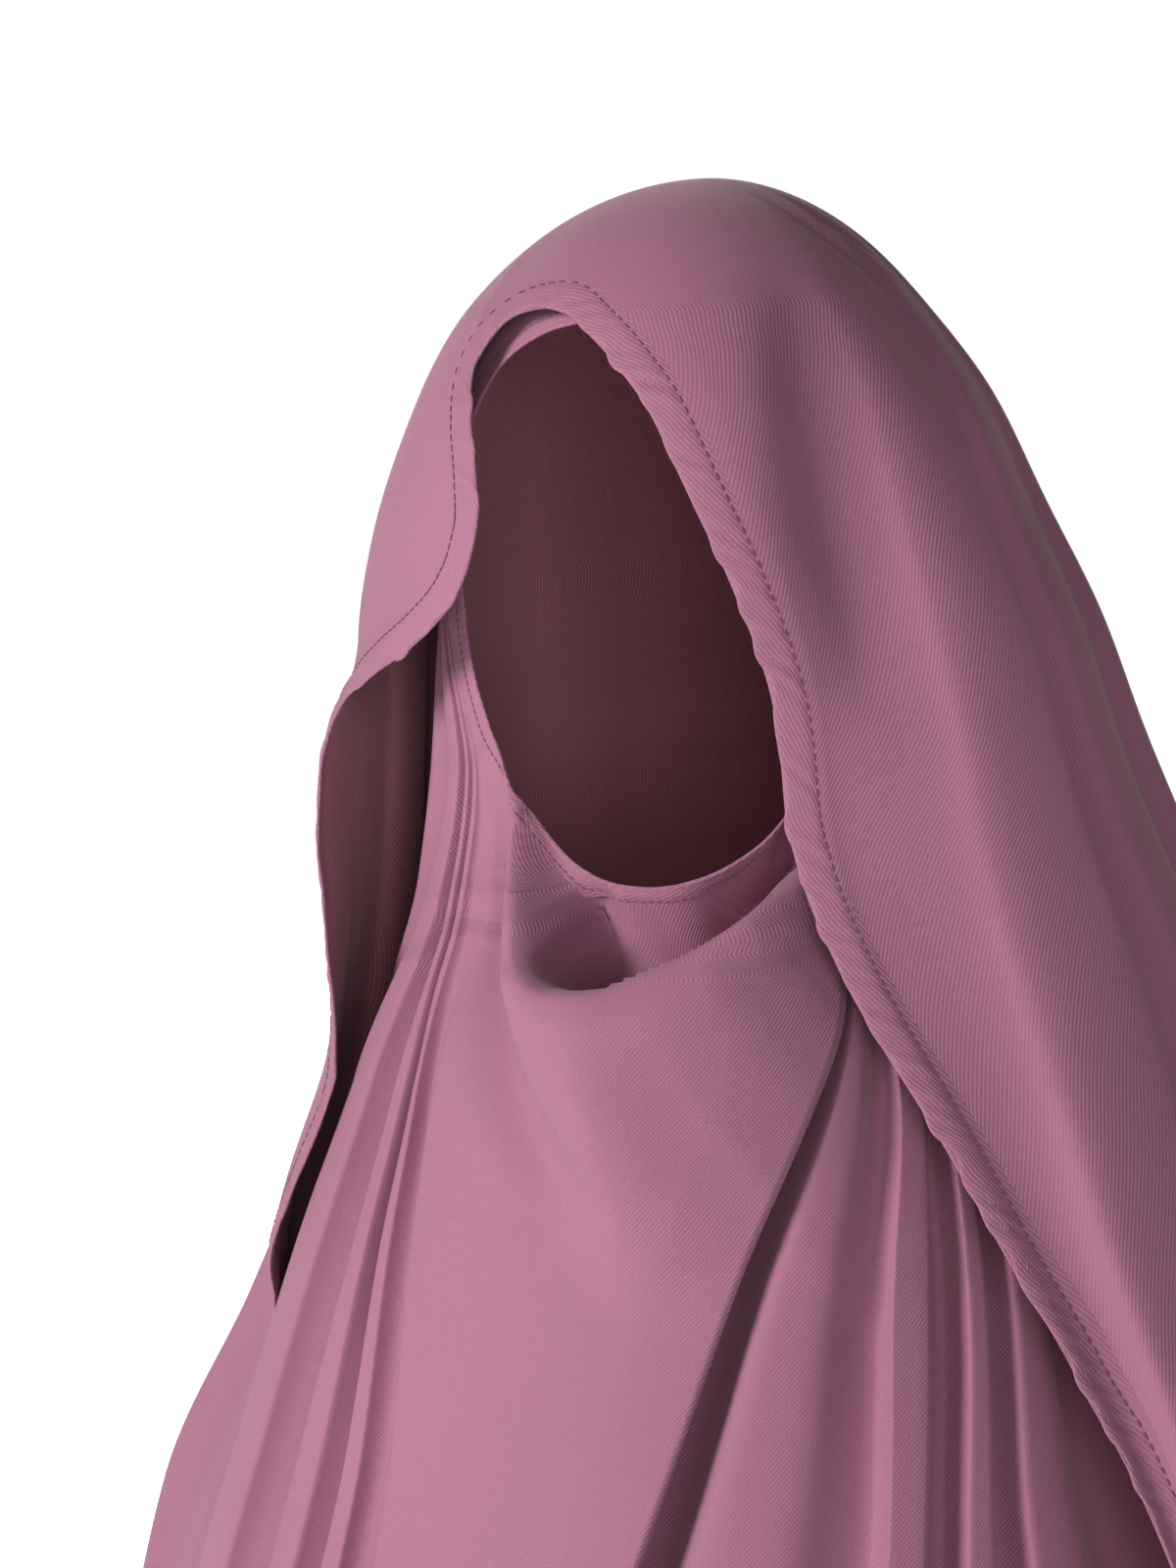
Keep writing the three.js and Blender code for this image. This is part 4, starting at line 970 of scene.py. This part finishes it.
bottomHem = {**frontHem, "pitch": 0.002, "pucker": 0.0004, "seed": 11}
hemStitch = {
    "pitch": 0.0033,
    "length": 0.0024,
    "radius": 0.00028,
    "spindle": [(-0.5, 0.25), (-0.36, 0.9), (0.36, 0.9), (0.5, 0.25)],  # shares of length and radius
    "sides": 6,
    "height": 0.00022,
    "inwards": frontHem["stitchLine"],
}

v = np.linspace(0, 1, outerSheet["rows"] + 1)[:, None]
outerClosed = v[:, 0] <= outerSheet["browRow"] + rowSlack
outerPoints = placeOuter(columnPlaces(outerSheet["columns"])[None], v)
outerNormals = gridNormals(outerPoints, outerClosed)
outerVeil = dress(thicken(sheetMesh("outer_veil_cloth", outerPoints, outerClosed), veil["cloth"]),
                  (mauve, throughLitWrongSide))
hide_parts("outer_veil")
print("outer veil", len(outerVeil.data.polygons), "faces")

brow = int(np.sum(outerClosed)) - 1
borderPoints = np.vstack([outerPoints[:brow:-1, -1], outerPoints[brow:, 0]])
borderNormals = np.vstack([outerNormals[:brow:-1, -1], outerNormals[brow:, 0]])
frontPath = edgePath(borderPoints, borderNormals, frontHem["pitch"])
frontCloth = clothNear(outerPoints, outerNormals, frontPath)
hem = dress(makeBand("front_hem_band", frontPath, frontCloth, frontHem), (hemTwill,))
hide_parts("front_hem")
frontStitches = dress(makeStitches("front_hem_stitches", frontPath, frontCloth, hemStitch), (thread,))
print("front hem", round(float(frontPath["s"][-1]), 3), "m")


def bottomBorder(name, points, normals, closed):
    # the turned and stitched hem round the bottom of a sheet
    path = edgePath(points[-1], normals[-1], bottomHem["pitch"], closed=closed)
    cloth = clothNear(points, normals, path)
    band = dress(makeBand(name + "_hem_band", path, cloth, bottomHem), (hemTwill,))
    stitches = dress(makeStitches(name + "_hem_stitches", path, cloth, hemStitch), (thread,))
    print(name, "bottom hem", round(float(path["s"][-1]), 3), "m")
    return [band, stitches]


outerBottom = bottomBorder("outer_bottom", outerPoints[:, 2:-2], outerNormals[:, 2:-2], False)

# Inner khimar and its binding

v = np.linspace(0, 1, innerSheet["rows"] + 1)[:, None]
innerClosed = (v[:, 0] <= innerSheet["topRow"] + rowSlack) | (v[:, 0] >= innerSheet["chinRow"] - rowSlack)
innerPoints = placeInner(columnPlaces(innerSheet["columns"])[None], v)
innerNormals = gridNormals(innerPoints, innerClosed)
innerKhimar = dress(thicken(sheetMesh("inner_khimar_cloth", innerPoints, innerClosed), veil["cloth"]),
                    (mauve, throughLitWrongSide))
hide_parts("inner_khimar")
print("inner khimar", len(innerKhimar.data.polygons), "faces")

faceBinding = {
    "pitch": 0.0012,
    "stitchLine": 0.0052,
    "pucker": 0.0001,
    "waves": ((0.0078, -0.9), (0.0113, -0.7)),
    "wander": 0.0001,
    "wanderWaves": frontHem["wanderWaves"],
    "seed": 5,
    "profile": [
        (0.0075, -0.0002), (0.0066, 0.00004), (0.0058, 0.00005), (0.0052, 0), (0.0046, 0.00015),
        (0.0034, 0.00022), (0.0022, 0.00022), (0.0016, 0.0001), (0.001, 0.0003), (0.0003, 0.00025),
        (-0.0001, -0.0001), (-0.0001, -0.0006), (0.0003, -0.0009), (0.0012, -0.001), (0.003, -0.001),
        (0.0048, -0.001), (0.0054, -0.0006),
    ],
}
first, last = (int(round(innerSheet[row] * innerSheet["rows"])) for row in ("topRow", "chinRow"))
ringPoints = np.vstack([innerPoints[first:last + 1, 0], innerPoints[last - 1:first:-1, -1]])
ringNormals = np.vstack([innerNormals[first:last + 1, 0], innerNormals[last - 1:first:-1, -1]])
facePath = edgePath(ringPoints, ringNormals, faceBinding["pitch"], closed=True)
faceCloth = clothNear(innerPoints, innerNormals, facePath)
binding = dress(makeBand("face_binding_band", facePath, faceCloth, faceBinding), (hemTwill,))
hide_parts("face_binding")
bindingStitch = {**hemStitch, "inwards": faceBinding["stitchLine"], "length": 0.002, "pitch": 0.003}
bindingStitches = dress(makeStitches("face_binding_stitches", facePath, faceCloth, bindingStitch),
                        (paleThread,))
print("face binding", round(float(facePath["s"][-1]), 3), "m")
innerBottom = bottomBorder("inner_bottom", innerPoints[:, :-1], innerNormals[:, :-1], True)

# Floor, light and camera

studio = {
    "floorDrop": 0.745,
    "floorSize": 12.0,
    "azimuth": 18,
    "elevation": 11,
    "roll": -3,
    "distance": 1.0,
    "target": (-0.0447, -0.0159, -0.1996),
    "lens": 67.5,
    "sensor": 36,
    "floorColor": (0.95, 0.95, 0.95),
    "floorRoughness": 0.8,
    "floorGlow": (0.12, 0.94),  # what it sheds on the cloth, and its own pale look
    "wash": (0.09, 1.0),  # what lights the cloth, and the white seen behind it
    "aim": (0, 0, -0.25),  # the point that the lights face
    "lights": tableOf(("name", "place", "size", "power", "color"), [
        ("window light", (-1.4, -1.6, 0.6), 0.8, 58, (1, 0.985, 0.97)),
        ("fill light", (0.8, -1.9, 0.1), 0.9, 13, (1, 0.97, 0.98)),
        ("back light", (-0.8, 1.9, 0.3), 1.4, 20, (1, 0.98, 0.98)),
    ]),
}


def cameraSwitch(nodes, links, amounts):
    # the first amount for the light that reaches the cloth, the second for what is seen directly
    amount = nodes.new("ShaderNodeMapRange")
    setInputs(amount, {"To Min": amounts[0], "To Max": amounts[1]})
    links.new(nodes.new("ShaderNodeLightPath").outputs["Is Camera Ray"], amount.inputs["Value"])
    return amount.outputs["Result"]


def makeFloor():
    # a square below the hem
    half = studio["floorSize"] / 2
    mesh = bpy.data.meshes.new("floor")
    z = -studio["floorDrop"]
    square = [(-half, -half, z), (half, -half, z), (half, half, z), (-half, half, z)]
    mesh.from_pydata(square, [], [(0, 1, 2, 3)])
    floor = bpy.data.objects.new("floor", mesh)
    bpy.context.scene.collection.objects.link(floor)
    material, nodes, links, surface = newMaterial("pale floor")
    setInputs(surface, {"Base Color": (*studio["floorColor"], 1), "Roughness": studio["floorRoughness"],
                        "Emission Color": (1, 1, 1, 1)})
    links.new(cameraSwitch(nodes, links, studio["floorGlow"]), surface.inputs["Emission Strength"])
    floor.data.materials.append(material)


def aimed(place, target, roll=0):
    # matrix at the place with its -Z towards the target, rolled about that line
    back = (Vector(place) - Vector(target)).normalized()
    turn = back.to_track_quat("Z", "Y").to_matrix() @ Matrix.Rotation(math.radians(roll), 3, "Z")
    return Matrix.Translation(place) @ turn.to_4x4()


def makeLight(name, place, size, power, color):
    light = bpy.data.lights.new(name, "AREA")
    light.shape = "SQUARE"
    light.size = size
    light.energy = power
    light.color = color
    lamp = bpy.data.objects.new(name, light)
    lamp.matrix_world = aimed(place, studio["aim"])
    bpy.context.scene.collection.objects.link(lamp)


def makeCamera():
    # target + distance (sin az cos el, -cos az cos el, sin el)
    azimuth, elevation = math.radians(studio["azimuth"]), math.radians(studio["elevation"])
    level = math.cos(elevation)
    back = Vector((math.sin(azimuth) * level, -math.cos(azimuth) * level, math.sin(elevation)))
    target = Vector(studio["target"])
    lens = bpy.data.cameras.new("camera")
    lens.lens = studio["lens"]
    lens.sensor_width = studio["sensor"]
    camera = bpy.data.objects.new("camera", lens)
    camera.matrix_world = aimed(target + back * studio["distance"], target, studio["roll"])
    bpy.context.scene.collection.objects.link(camera)
    bpy.context.scene.camera = camera


makeFloor()
for lamp in studio["lights"]:
    makeLight(**lamp)
makeCamera()
world = bpy.data.worlds.new("studio")
world.use_nodes = True
worldNodes, worldLinks = world.node_tree.nodes, world.node_tree.links
backdrop = worldNodes["Background"]
setInputs(backdrop, {"Color": (1, 1, 1, 1)})
worldLinks.new(cameraSwitch(worldNodes, worldLinks, studio["wash"]), backdrop.inputs["Strength"])
bpy.context.scene.world = world
print("floor, lights and camera placed")
bpy.context.scene.view_settings.view_transform = "Standard"
